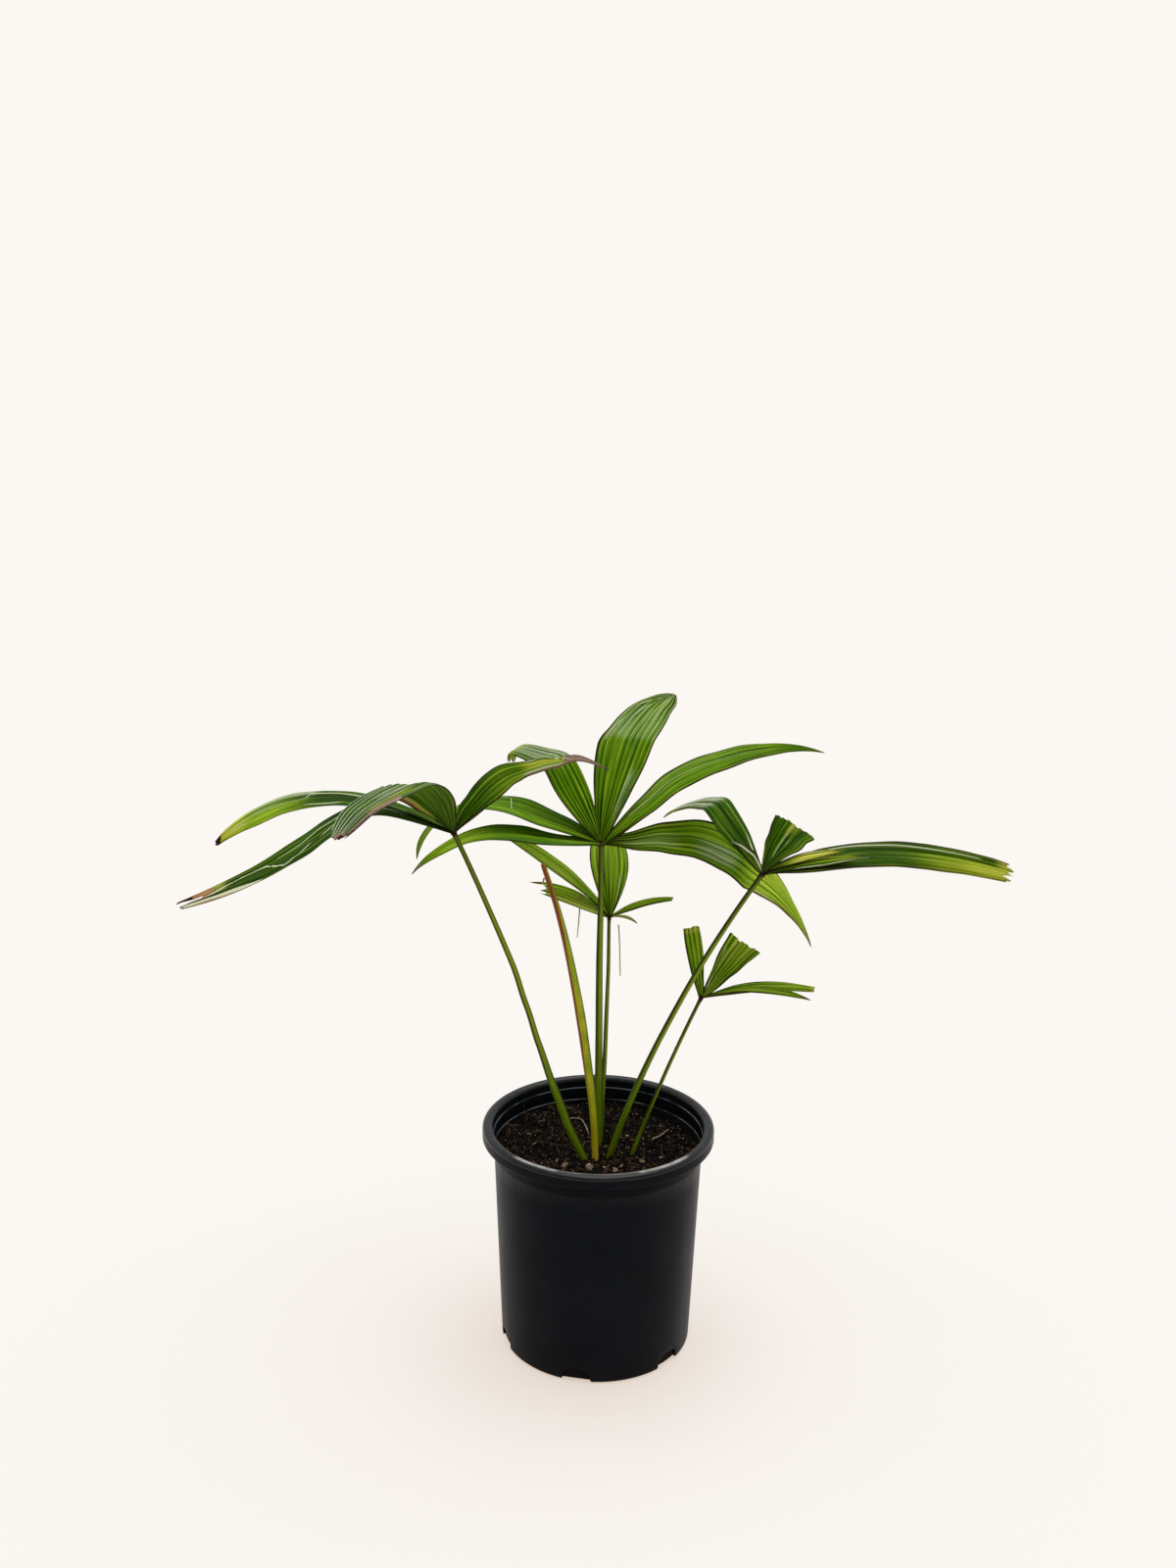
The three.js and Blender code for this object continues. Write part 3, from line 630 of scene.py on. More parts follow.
# The leaflets of each fan
LEFT_LEAFLETS = (
    leaflet("back", 168, 27, 235, 42, droop=70, bend=1.15, swerve=7, widest=0.46, roll=9, twist=-30, full=3,
        pleats=5, tip=0.2, ragged=0.006, shift=((0.6, 0), (0.8, 2.4), (1, 1.4)),
        plus=((0.35, 1), (0.5, 0.76), (0.66, 0.84), (0.78, 1)),
        minus=((0.55, 1), (0.7, 1.12), (0.95, 1.15)),
        marks=(
            patch("light", (0.64, 1.1), (-0.3, 2), (0.26, 0.5)),
            band("light", 0.68, 1.1, 0.16, 0.9),
            band("yellow", 0.86, 1.1, 0.1),
            patch("pale", (0.57, 0.84), (-1, -0.35), (0.05, 0.25), 0.55),
            patch("pale", (0.86, 0.93), (-0.6, 0.1), (0.04, 0.3), 0.5),
            stroke(((0.36, -0.42), (0.48, -0.5), (0.585, -0.52), (0.61, -0.28), (0.68, -0.15),
                (0.8, -0.25)), 0.6, 0.95),
            stroke(((0.36, 0.55), (0.45, 0.62), (0.555, 0.58), (0.645, 0.5)), 0.5, 0.8),
            patch("dark", (0.1, 0.6), (-0.35, 0.5), (0.1, 0.2), 0.45),
            patch("tan", (0.45, 1.0), (-2, -0.94), (0.1, 0.1), 0.6),
            band("burnt", 0.972, 1.1, 0.02),
        )),
    leaflet("long", 187, 22, 266, 46, droop=-21, bend=1.45, twist=-18, full=2, tip=0.3, crease=62,
        crease_at=0.17, crease_span=0.24, pleats=5, depth=0.45, shift=((0.1, 0), (0.25, 1.3), (0.7, 2)),
        minus=((0.3, 1), (0.45, 1.08), (0.75, 0.6)),
        end=((-1, 0.98), (-0.6, 1.0), (-0.3, 0.96), (0.0, 0.9), (0.2, 0.91), (0.5, 0.985), (1, 0.98)),
        ragged=0.006,
        marks=(
            stroke(((0.2, -0.5), (0.48, -0.4), (0.56, -0.2), (0.64, -0.1)), 0.6, 0.9),
            stroke(((0.2, 0.0), (0.425, 0.0), (0.51, 0.35), (0.59, 0.75), (0.615, 0.8)), 0.7, 0.95),
            stroke(((0.615, 0.8), (0.655, 0.4), (0.675, 0.05), (0.71, -0.05), (0.77, -0.1), (0.825, 0.0),
                (0.875, 0.15), (0.9, 0.2)), 0.9, 1.0),
            stroke(((0.7, 0.97), (0.8, 0.78), (0.9, 0.68), (0.98, 0.72)), 2.0, 1.0),
            patch("tan", (0.74, 1.2), (0.86, 2), (0.06, 0.08)),
            patch("yellow", (0.83, 0.88), (-1.1, 0.3), (0.03, 0.3), 0.6),
            patch("dark", (0.2, 0.85), (-0.9, 0.8), (0.1, 0.3), 0.22),
            patch("tan", (0.87, 1.2), (-2, 0.45), (0.03, 0.2)),
            patch("burnt", (0.94, 1.2), (-2, -0.1), (0.03, 0.2), 0.9),
            band("burnt", 0.985, 1.2, 0.02),
        )),
    leaflet("arched", 225, 54, 158, 60, droop=35, swerve=9, widest=0.45, roll=14, twist=-5, full=2.3,
        crease=47, crease_at=0.3, crease_span=0.17, split=True, pleats=8, tip=0.3, ragged=0.02, depth=1.1,
        minus=((0, 0.7), (0.1, 0.85), (0.2, 1.42), (0.3, 1.7), (0.5, 1.05)),
        plus=((0.05, 1), (0.25, 1.12), (0.5, 0.98), (0.75, 0.74), (1, 0.74)),
        shift=((0.2, 0), (0.45, -3), (0.8, -2.5), (1, 0)),
        raised=((0.08, 0), (0.25, 4), (0.45, 6), (0.75, 4.5), (1, 1)),
        end=((-1, 0.97), (-0.4, 0.99), (0.2, 1.0), (0.5, 0.985), (0.62, 1.0), (0.68, 0.97), (0.78, 0.99),
            (0.85, 0.95), (1, 0.97)),
        marks=(
            patch("pale", (0.38, 0.64), (-1, 0.9), (0.06, 0.4), 0.15),
            patch("ribs", (0.45, 1.1), (-2, 0.62), (0.15, 0.2), 0.75),
            patch("dark", (0.6, 1.0), (-0.8, 0.5), (0.15, 0.3), 0.25),
            patch("dark", (0.0, 0.32), (-2, 0.9), (0.1, 0.5), 0.25),
            patch("tan", (0.1, 0.34), (0.86, 2), (0.06, 0.15), 0.4),
            patch("yellow", (0.13, 0.34), (-2, -0.6), (0.06, 0.2), 0.9),
            patch("tan", (0.16, 0.3), (-2, -0.76), (0.04, 0.12), 0.9),
            patch("yellow", (0.52, 0.78), (0.4, 0.75), (0.1, 0.2), 0.45),
            patch("grey", (0.62, 1.1), (0.7, 2), (0.1, 0.15), 0.9),
            patch("burnt", (0.8, 1.1), (0.9, 2), (0.06, 0.08), 0.7),
            patch("grey", (0.96, 1.1), (-0.3, 2), (0.03, 0.3), 0.7),
            patch("burnt", (0.975, 1.1), (0.2, 2), (0.03, 0.3), 0.8),
        )),
    leaflet("rising", 359, 65, 160, 35, droop=86, bend=1.1, widest=0.36, roll=41, twist=-33, full=1.4,
        split=True, pleats=6, tip=0.08, ragged=0.02, wave=1.4,
        shift=((0.05, 0), (0.2, -1.2), (0.42, 2), (0.6, -2.8), (0.73, 0), (0.86, 6.2), (1, 3)),
        minus=((0.25, 1), (0.42, 1.18), (0.5, 1.03), (0.58, 0.78), (0.68, 0.9), (0.8, 1)),
        plus=((0, 1.35), (0.12, 1.25), (0.2, 1.0), (0.38, 1.05), (0.52, 0.85), (0.62, 1)),
        raised=((0.7, 0), (0.82, 1.8), (0.95, 1.0), (1, 0)),
        marks=(
            patch("light", (0.35, 0.8), (-0.9, 0.9), (0.2, 0.4), 0.4),
            patch("yellow", (0.55, 0.77), (-0.25, 0.8), (0.07, 0.4), 0.6),
            stroke(((0.56, 0.7), (0.65, 0.88), (0.72, 0.8), (0.77, 0.3), (0.8, -0.3)), 0.8, 0.9),
            patch("tan", (0.56, 0.79), (-2, -0.74), (0.05, 0.12), 0.75),
            patch("pale", (0.55, 0.77), (-0.74, -0.5), (0.05, 0.12), 0.7),
            band("grey", 0.77, 1.2, 0.04, 1.0),
            patch("pale", (0.8, 0.95), (-0.8, 0.3), (0.04, 0.4), 0.4),
        )),
)

TALL_LEAFLETS = (
    leaflet("low_left", 179, 10, 189, 38, droop=64, bend=2.1, roll=-4, twist=-7, full=1.9, pleats=5, root=0.2,
        raised=((0.05, 0), (0.22, -1.2), (0.4, 0)), minus=((0.05, 1), (0.22, 0.6), (0.42, 1)),
        shift=((0, 0), (0.12, 2.4), (0.38, 1.2), (0.62, -3.0), (0.8, 2.8), (1, 2.2)),
        plus=((0, 1.4), (0.3, 1.25), (0.48, 1), (0.66, 0.8), (0.85, 1)),
        marks=(
            band("light", 0.6, 1.2, 0.25, 0.7),
            patch("dark", (-0.1, 0.5), (0.9, 2), (0.1, 0.08), 0.9),
            stroke(((0.9, 0.6), (0.95, 0.3), (1.0, 0.0)), 0.5, 0.8),
            band("grey", 0.965, 1.2, 0.02),
        )),
    leaflet("mid_left", 167, 25, 218, 42, droop=110, bend=2.05, swerve=-5, widest=0.41, roll=-10, twist=14,
        split=True, pleats=5, full=2.6, shift=((0.15, 0), (0.4, -1.8), (0.6, -0.5), (0.8, 1)),
        raised=((0.1, 0), (0.3, -0.8), (0.45, 0.7), (0.6, 1.2), (0.8, 0)),
        minus=((0.03, 1), (0.12, 1.35), (0.25, 1.05), (0.4, 1.1), (0.6, 1)),
        plus=((0.1, 1), (0.28, 1.12), (0.5, 1)),
        marks=(
            patch("tan", (0.05, 0.48), (-2, -0.95), (0.08, 0.06), 0.55),
            stroke(((0.455, -0.85), (0.43, -0.2), (0.41, 0.5)), 0.5, 0.9),
            stroke(((0.5, -0.9), (0.42, -0.72), (0.36, -0.6)), 0.4, 0.6),
            band("light", 0.68, 1.2, 0.15, 0.9),
            patch("grey", (0.96, 1.2), (-2, 0.0), (0.03, 0.4), 0.8),
        )),
    leaflet("folded", 146, 55, 151, 39, swerve=-3, widest=0.47, roll=-15, twist=2, crease=52, crease_at=0.5,
        crease_span=0.16, curl=120, curl_at=0.86, curl_span=0.16, pleats=7, tip=0.42, full=1.6,
        ragged=0.02, raised=((0.68, 0), (0.86, 1.0), (1, 0.2)),
        end=((-1, 0.98), (-0.6, 1.0), (-0.5, 0.96), (0.0, 1.0), (0.15, 0.96), (0.5, 1.0), (0.6, 0.96),
            (1, 0.99)),
        marks=(
            patch("pale", (0.56, 0.9), (-1, 0.8), (0.08, 0.3), 0.4),
            band("ribs", 0.56, 0.95, 0.08, 0.4),
            band("light", 0.86, 1.2, 0.06, 1.0),
            band("yellow", 0.92, 1.2, 0.06, 0.6),
            stroke(((0.6, -0.9), (0.71, 0.2)), 0.5, 0.5),
            patch("dark", (-0.1, 0.4), (-2, -0.92), (0.1, 0.08), 0.8),
        )),
    leaflet("upright", 64, 68, 215.5, 55, droop=50, bend=1.2, widest=0.48, roll=-7, twist=13, full=2,
        crease=20, crease_at=0.44, crease_span=0.12, pleats=9, depth=0.9, tip=0.1, ragged=0.01,
        plus=((0.15, 1), (0.44, 1.06), (0.56, 0.93), (0.75, 0.95), (0.9, 1.02)),
        minus=((0.15, 1), (0.48, 1.0), (0.7, 1.03), (0.9, 1.22)),
        end=((-1, 0.985), (-0.5, 1.0), (0.3, 1.0), (1, 0.98)),
        marks=(
            patch("pale", (0.49, 0.75), (-0.95, 0.95), (0.03, 0.3), 0.14),
            patch("light", (0.49, 1.0), (-1, 0.3), (0.03, 0.5), 0.2),
            band("ribs", 0.49, 1.1, 0.05, 0.25),
            patch("pale", (0.12, 0.32), (-0.85, -0.55), (0.08, 0.2), 0.4),
            stroke(((0.47, 0.8), (0.6, 0.72), (0.75, 0.6), (0.9, 0.4)), 0.45, 0.8),
            stroke(((0.5, 0.42), (0.7, 0.3), (0.88, 0.1)), 0.4, 0.7),
            stroke(((0.5, -0.5), (0.7, -0.45), (0.9, -0.5)), 0.4, 0.6),
            patch("burnt", (0.94, 0.96), (-0.4, -0.3), (0.01, 0.1), 1.0),
            patch("dark", (-0.1, 0.5), (0.94, 2), (0.1, 0.06), 0.6),
        )),
    leaflet("right", 12, 44, 240, 40, droop=61, bend=1.5, roll=12, twist=2, full=1.85, pleats=5, lift=0.1,
        root=0.26, shift=((0, 0), (0.1, -3), (0.22, -2.4), (0.38, 3.8), (0.6, 1), (1, 3.4)),
        marks=(
            patch("dark", (-0.1, 0.6), (-2, -0.93), (0.15, 0.08), 0.7),
            patch("tan", (0.55, 1.0), (0.95, 2), (0.1, 0.06), 0.45),
            stroke(((0.15, 0.3), (0.4, 0.2), (0.7, 0.1)), 0.5, 0.5),
            stroke(((0.2, 0.7), (0.45, 0.62), (0.65, 0.5)), 0.4, 0.4),
            band("tan", 0.985, 1.2, 0.015, 0.7),
        )),
    leaflet("drooping", 354, 22, 246, 51, droop=95, bend=1, swerve=7, widest=0.6, roll=48, twist=-22,
        full=0.8, split=True, pleats=7,
        shift=((0, 0), (0.13, -4.6), (0.25, -2.4), (0.37, 1.2), (0.5, 0.6), (0.68, -3.6), (0.9, -4),
            (1, -1)),
        minus=((0.5, 1), (0.72, 1.3), (0.95, 1.05)),
        plus=((0.42, 1), (0.56, 0.5), (0.62, 0.45), (0.7, 0.95)),
        marks=(
            patch("pale", (0.38, 0.52), (-0.7, 0.0), (0.08, 0.4), 0.6),
            patch("pale", (0.08, 0.3), (-0.6, 0.2), (0.08, 0.4), 0.2),
            band("light", 0.6, 1.2, 0.14, 1.0),
            band("lime", 0.62, 1.2, 0.14, 0.45),
            patch("light", (0.0, 0.5), (-0.8, 0.8), (0.2, 0.5), 0.4),
            patch("pale", (0.64, 0.97), (-1.2, -0.86), (0.05, 0.1), 0.8),
            patch("tan", (0.64, 0.98), (-1.2, -0.93), (0.05, 0.06), 0.7),
            patch("dark", (-0.1, 0.45), (-2, -0.94), (0.1, 0.06), 0.8),
            band("tan", 0.97, 1.2, 0.03, 0.7),
        )),
)

INNER_LEAFLETS = (
    leaflet("up_left", 172, 62, 141, 28, droop=38, bend=0.5, roll=3, twist=-20, pleats=4, lift=0.1,
        shift=((0, 0), (0.2, 0.8)),
        marks=(
            band("light", 0.35, 1.2, 0.2, 0.5),
            band("lime", 0.3, 1.2, 0.3, 0.25),
        )),
    # The torn leaflet's lift and its lime band over nearly all of it are painted light, brightening a leaflet
    # that the leaves above shade
    leaflet("torn", 184, 35, 82, 25, droop=27, roll=-11, twist=-17, tip=0.4, pleats=5, lift=0.8,
        end=((-1, 1.04), (-0.82, 1.0), (-0.7, 0.9), (-0.3, 0.83), (0.1, 0.8), (0.3, 0.86), (0.5, 0.9),
            (0.6, 0.8), (0.8, 0.82), (1, 0.9)),
        ragged=0.02,
        marks=(
            band("lime", 0.1, 1.2, 0.5, 1.0),
            patch("yellow", (0.3, 1.2), (0.0, 2), (0.3, 0.5), 0.3),
            patch("tan", (0.87, 1.2), (-2, -0.6), (0.06, 0.2), 0.9),
        )),
    leaflet("upright", 91, 54, 140, 43, droop=67, widest=0.46, roll=19, twist=-10, full=1.9, pleats=7,
        plus=((0, 0.85), (0.4, 0.88)), minus=((0, 1), (0.4, 0.96)),
        marks=(
            band("light", 0.1, 0.7, 0.3, 0.3),
            stroke(((0.1, -0.7), (0.2, -0.65), (0.34, -0.55)), 0.6, 0.4),
        )),
    leaflet("cut", 5, 29, 65, 14, droop=30, roll=5, twist=8, tip=0.45, pleats=3, lift=0.2,
        end=((-1, 0.97), (-0.2, 0.96), (0.0, 0.985), (1, 1.0)),
        marks=(
            band("light", 0.4, 1.2, 0.3, 0.5),
            band("yellow", 0.95, 1.2, 0.03, 0.6),
        )),
    leaflet("shoot", 330, 25, 32, 8, droop=60, tip=0.1, pleats=2, depth=0.4, lift=0.3,
        marks=(
            band("light", 0.2, 1.2, 0.2, 0.8),
            patch("tan", (0.3, 1.2), (0.0, 2), (0.2, 0.4), 0.8),
        )),
)

RIGHT_LEAFLETS = (
    leaflet("folded", 143, 50, 139, 38, droop=19, swerve=-3, widest=0.45, roll=-3, twist=-3, crease=57,
        crease_at=0.51, crease_span=0.08, curl=15, curl_at=0.78, curl_span=0.2,
        raised=((0.56, 0), (0.72, 2.6), (1, 2)), full=2.6, pleats=6,
        minus=((0, 0.75), (0.3, 1.03), (0.6, 1.12), (0.9, 1)),
        plus=((0.35, 1), (0.5, 0.9), (0.65, 0.86), (0.85, 1)),
        marks=(
            patch("pale", (0.56, 0.9), (-1, 0.9), (0.05, 0.3), 0.7),
            band("ribs", 0.56, 1.0, 0.06, 0.6),
            band("yellow", 0.82, 1.2, 0.1, 1.0),
            patch("dark", (0.05, 0.45), (-0.2, 0.6), (0.2, 0.5), 0.25),
            stroke(((0.08, -0.2), (0.2, -0.5), (0.3, -0.64), (0.4, -0.68), (0.52, -0.66)), 0.6, 1.0),
        )),
    leaflet("lip", 200, 50, 46, 12, droop=10, roll=-62, tip=0.03, pleats=3, depth=0.5, start=(0, -2, 0),
        minus=((0.0, 1), (0.4, 1.5), (1, 1.2)), plus=((0.0, 1), (0.4, 0.6)),
        marks=(
            patch("dark", (-0.1, 1.2), (-0.5, 2), (0.1, 0.3), 0.35),
            stroke(((0.0, -0.9), (0.4, -0.9), (0.8, -0.9), (1.0, -0.6)), 1.0, 1.0),
        )),
    leaflet("cut", 35, 60, 54, 48, droop=22, roll=-15, twist=30, fan=True, widest=1.0, root=0.05, pleats=7,
        depth=1.1, minus=((0, 2.4), (0.5, 1.9), (0.8, 1.32), (1, 1.24)),
        plus=((0, 2.0), (0.45, 1.3), (0.7, 0.98), (1, 0.9)),
        end=((-1, 0.9), (-0.8, 0.945), (-0.55, 0.945), (-0.2, 0.96), (0.1, 0.995), (0.25, 1.0),
            (0.6, 0.98), (1, 1.0)),
        ragged=0.004,
        marks=(
            stroke(((0.3, -0.3), (0.5, -0.2), (0.82, -0.12)), 0.32, 0.6),
            stroke(((0.25, -0.62), (0.45, -0.58), (0.65, -0.55)), 0.38, 0.6),
            patch("yellow", (0.8, 1.1), (-0.3, 0.1), (0.2, 0.2), 0.4),
            patch("tan", (0.85, 1.1), (-0.75, -0.45), (0.15, 0.2), 0.35),
            band("tan", 0.975, 1.2, 0.03, 0.55),
        )),
    leaflet("long", 352, 22, 216, 44, droop=36, bend=1, swerve=-2, widest=0.25, roll=7, twist=22, tip=0.5,
        full=1.7, pleats=6, depth=0.9, shift=((0.4, 0), (0.75, -2), (1, -2.6)),
        minus=((0.3, 1), (0.5, 0.93), (0.8, 0.95), (0.95, 1.02)),
        end=((-1, 0.985), (-0.75, 1.0), (-0.5, 0.975), (-0.2, 1.01), (0.0, 0.99), (0.3, 1.01),
            (0.6, 0.985), (1, 0.985)),
        ragged=0.012,
        marks=(
            patch("dark", (-0.1, 0.36), (-1.1, -0.45), (0.12, 0.5), 0.55),
            stroke(((0.2, 0.66), (0.34, 0.7), (0.5, 0.66), (0.7, 0.62), (0.88, 0.6)), 0.8, 0.75),
            patch("dark", (0.3, 0.9), (0.2, 0.6), (0.15, 0.3), 0.35),
            patch("dark", (0.3, 0.65), (-0.8, 0.4), (0.2, 0.4), 0.3),
            patch("light", (0.64, 1.2), (-0.75, 0.3), (0.3, 0.5), 0.8),
            patch("yellow", (0.76, 1.2), (-1.2, 0.1), (0.35, 0.5), 0.9),
            band("yellow", 0.95, 1.2, 0.06, 0.9),
        )),
    leaflet("flap_upper", 343, 34, 76, 10, droop=26, bend=1, roll=40, widest=0.5, tip=0.03, pleats=3,
        depth=0.3, extra=True, lift=0.4, start=(0, -3, 1.5),
        marks=(
            band("light", -0.1, 1.2, 0.1, 0.8),
            band("yellow", 0.35, 1.1, 0.2, 1.0),
            patch("dark", (-0.1, 0.6), (-2, -0.8), (0.1, 0.2), 0.9),
            stroke(((0.15, 0.7), (0.4, 0.75), (0.75, 0.6)), 0.5, 0.7),
        )),
    leaflet("flap_lower", 341, 25, 96, 13, droop=18, bend=1, roll=34, widest=0.55, tip=0.02, pleats=3,
        depth=0.4, extra=True, lift=0.2, start=(0, -4, 0),
        marks=(
            patch("light", (0.2, 1.2), (-0.6, 2), (0.3, 0.5), 0.6),
            patch("yellow", (0.35, 0.9), (0.2, 2), (0.2, 0.5), 0.5),
            stroke(((0.3, -0.85), (0.6, -0.85), (0.85, -0.7), (1.0, 0.0)), 0.6, 1.0),
            band("dark", 0.0, 0.3, 0.2, 0.5),
        )),
)

LOW_LEAFLETS = (
    leaflet("cut_upright", 112, 72, 66, 17.5, droop=6, roll=-2, tip=0.93, widest=0.8, swell=1.1, root=0.3,
        pleats=4, shift=((0, 0), (0.4, 1.0), (1, 1.2)),
        end=((-1, 1.01), (-0.3, 1.02), (0.1, 1.0), (1, 1.005)), ragged=0.006,
        marks=(
            band("yellow", 0.93, 1.2, 0.05, 0.6),
            band("light", 0.5, 1.2, 0.3, 0.4),
        )),
    leaflet("cut_slanted", 34, 42, 68, 37, droop=3, roll=-3, twist=29, fan=True, widest=1.0, root=0.06,
        pleats=7, depth=0.8, plus=((0, 1.9), (0.5, 1.35), (1, 1.06)),
        minus=((0, 2.2), (0.5, 1.22), (0.8, 0.97), (1, 0.93)),
        end=((-1, 1.0), (-0.6, 1.015), (-0.45, 0.98), (0.1, 1.0), (0.3, 0.975), (1, 1.01)), ragged=0.01,
        marks=(
            patch("yellow", (0.6, 1.1), (-0.6, 0.5), (0.3, 0.35), 0.3),
            stroke(((0.15, 0.7), (0.5, 0.8), (0.8, 0.85)), 0.6, 0.7),
            band("tan", 0.985, 1.2, 0.02, 0.5),
        )),
    leaflet("cut_level", 5, 13.5, 110, 22, droop=24, roll=9, twist=-3, tip=0.42, pleats=4,
        minus=((0.1, 0.5), (0.3, 0.6), (0.6, 0.85), (1, 1.2)), shift=((0.05, 0), (0.4, 0.8)),
        end=((-1, 0.97), (0.2, 0.985), (1, 1.0)),
        marks=(
            band("light", 0.6, 1.2, 0.3, 0.5),
            band("yellow", 0.95, 1.2, 0.03, 0.7),
        )),
    leaflet("level", 350, 22, 104, 16, droop=41, bend=1.2, roll=-8, twist=16, widest=0.62, pleats=3, lift=0.2,
        marks=(
            band("light", 0.4, 1.2, 0.3, 0.8),
            band("tan", 0.96, 1.2, 0.03, 0.7),
        )),
)

# The five leaves: stalks from foot to hub, and the fan that each one bears
LEAVES = (
    {"name": "left", "tone": "dark", "foot": (-14.3, -15, MIX_LEVEL), "top": (-131, -35, 509),
     "radii": (4.3, 2.7, 2.1), "bow": 7.6,
     "sway": ((0, 1.5), (0.03, -0.4), (0.06, -2.2), (0.09, -3.8), (0.12, -4.8), (0.27, -6.2),
         (0.37, -5.6), (0.49, -3.5), (0.61, -1.3), (1, 0)),
     "leaflets": LEFT_LEAFLETS},
    {"name": "tall", "tone": "green", "foot": (0.8, 15, MIX_LEVEL), "top": (-1, 35, 481),
     "radii": (3.8, 3.3, 2.4), "bow": 1, "sway": ((0, -1), (0.6, -0.9), (0.85, 0)),
     "leaflets": TALL_LEAFLETS},
    {"name": "inner", "tone": "pale", "foot": (2.6, 22, MIX_LEVEL), "top": (8, 62, 400),
     "radii": (2.5, 2.1, 1.6), "bow": 1, "sway": ((0, 0), (0.4, 1.2), (0.75, 1.0), (1, 0)),
     "leaflets": INNER_LEAFLETS},
    {"name": "right", "tone": "dark", "foot": (10.4, -9, MIX_LEVEL), "top": (142, -30, 474),
     "radii": (3.4, 2.6, 2.2), "bow": 12, "sway": ((0, 0), (1, 0)), "leaflets": RIGHT_LEAFLETS},
    {"name": "low", "tone": "pale", "foot": (33, 0, MIX_LEVEL), "top": (95, 20, 336),
     "radii": (2.2, 1.8, 1.7), "bow": 3, "sway": ((0, 0), (1, 0)), "leaflets": LOW_LEAFLETS},
)

# The old spear: a dead leaf stalk that ends where it was cut off
SPEAR = {"name": "old", "foot": (-2.4, -13, MIX_LEVEL), "top": (-53.4, -10, 474),
         "radii": (3.5, 4.4, 2.2), "bow": 10, "sway": ((0, 0), (0.5, -0.5), (0.85, 0.8), (1, 0))}


def eased(points, s):
    """A value that eases from each (share, value) to the next along a blade."""
    result = np.full(np.shape(s), float(points[0][1]))
    for (s0, a0), (s1, a1) in zip(points, points[1:]):
        result = result + (a1 - a0) * smooth((s - s0) / (s1 - s0))
    return result


def blade_frame(leaf, s):
    """Directions along the blade, across it and out of its upper face, at shares s of its length."""
    creased = leaf["crease"] * smooth((s - leaf["crease_at"]) / leaf["crease_span"])
    curled = leaf["curl"] * smooth((s - leaf["curl_at"]) / leaf["curl_span"])
    drooped = leaf["droop"] * np.maximum(s, 0) ** leaf["bend"]
    elevation = np.radians(leaf["rise"] - drooped - creased - curled)
    azimuth = np.radians(leaf["heading"] + leaf["swerve"] * s)
    roll = np.radians(leaf["roll"] + leaf["twist"] * smooth(s))[..., None]
    along = np.stack([np.cos(elevation) * np.cos(azimuth), np.cos(elevation) * np.sin(azimuth),
                      np.sin(elevation)], -1)
    level = np.stack([-np.sin(azimuth), np.cos(azimuth), 0 * azimuth], -1)
    upper = np.cross(along, level)
    across = level * np.cos(roll) + upper * np.sin(roll)
    out = upper * np.cos(roll) - level * np.sin(roll)
    return along, across, out


def blade_width(leaf, s):
    widest, tip, root = leaf["widest"], leaf["tip"], leaf["root"]
    share = np.clip(s / widest, 0, 1)
    opening = share if leaf["fan"] else np.sin(np.pi / 2 * share) ** leaf["swell"]
    u = np.clip((s - widest) / max(1 - widest, 0.01), 0, 1)
    closing = tip + (1 - tip) * (1 - u ** leaf["full"])
    return leaf["width"] * np.where(s < widest, root + (1 - root) * opening, closing)


def blade_spine(leaf, hub, s):
    """Points down the middle of the blade at shares s, which may run a little past its tip."""
    ends = np.linspace(0, SPINE_REACH, BLADE_STEPS + 1)
    middles = (ends[1:] + ends[:-1]) / 2
    along, _, _ = blade_frame(leaf, middles)
    steps = along * leaf["length"] * SPINE_REACH / BLADE_STEPS
    line = np.vstack([np.zeros(3), np.cumsum(steps, 0)]) + np.add(hub, leaf["start"])
    return np.stack([np.interp(s, ends, line[:, axis]) for axis in range(3)], -1)


def pleat_wave(phase):
    """Folded like a fan: 1 on a ridge and -1 in a valley, a little rounded."""
    saw = 1 - 4 * np.abs(phase % 1 - 0.5)
    return 0.55 * saw + 0.45 * saw * (1.5 - 0.5 * saw * saw)


def line_offset(leaf, line, s, t, half):
    """How far each point lies to one side of a line, in line widths, and how strongly it shows."""
    shares, places = (np.array(column) for column in zip(*sorted(line["points"])))
    beside = places * blade_width(leaf, shares) / 2
    slope = np.gradient(beside, shares * leaf["length"])
    across = t * half - np.interp(s, shares, beside)
    offset = across / np.sqrt(1 + np.interp(s, shares, slope) ** 2) / line["width"]
    fade = np.minimum(s - shares[0], shares[-1] - s) * leaf["length"]
    return np.clip(offset, -9, 9), line["amount"] * smooth(fade / 5 + 0.4)


def mark_amount(mark, s, t):
    (s0, s1), (t0, t1), (soft_s, soft_t) = mark["along"], mark["across"], mark["soft"]
    near = smooth((s - s0) / soft_s + 0.5) * smooth((s1 - s) / soft_s + 0.5)
    beside = smooth((t - t0) / soft_t + 0.5) * smooth((t1 - t) / soft_t + 0.5)
    return mark["amount"] * near * beside


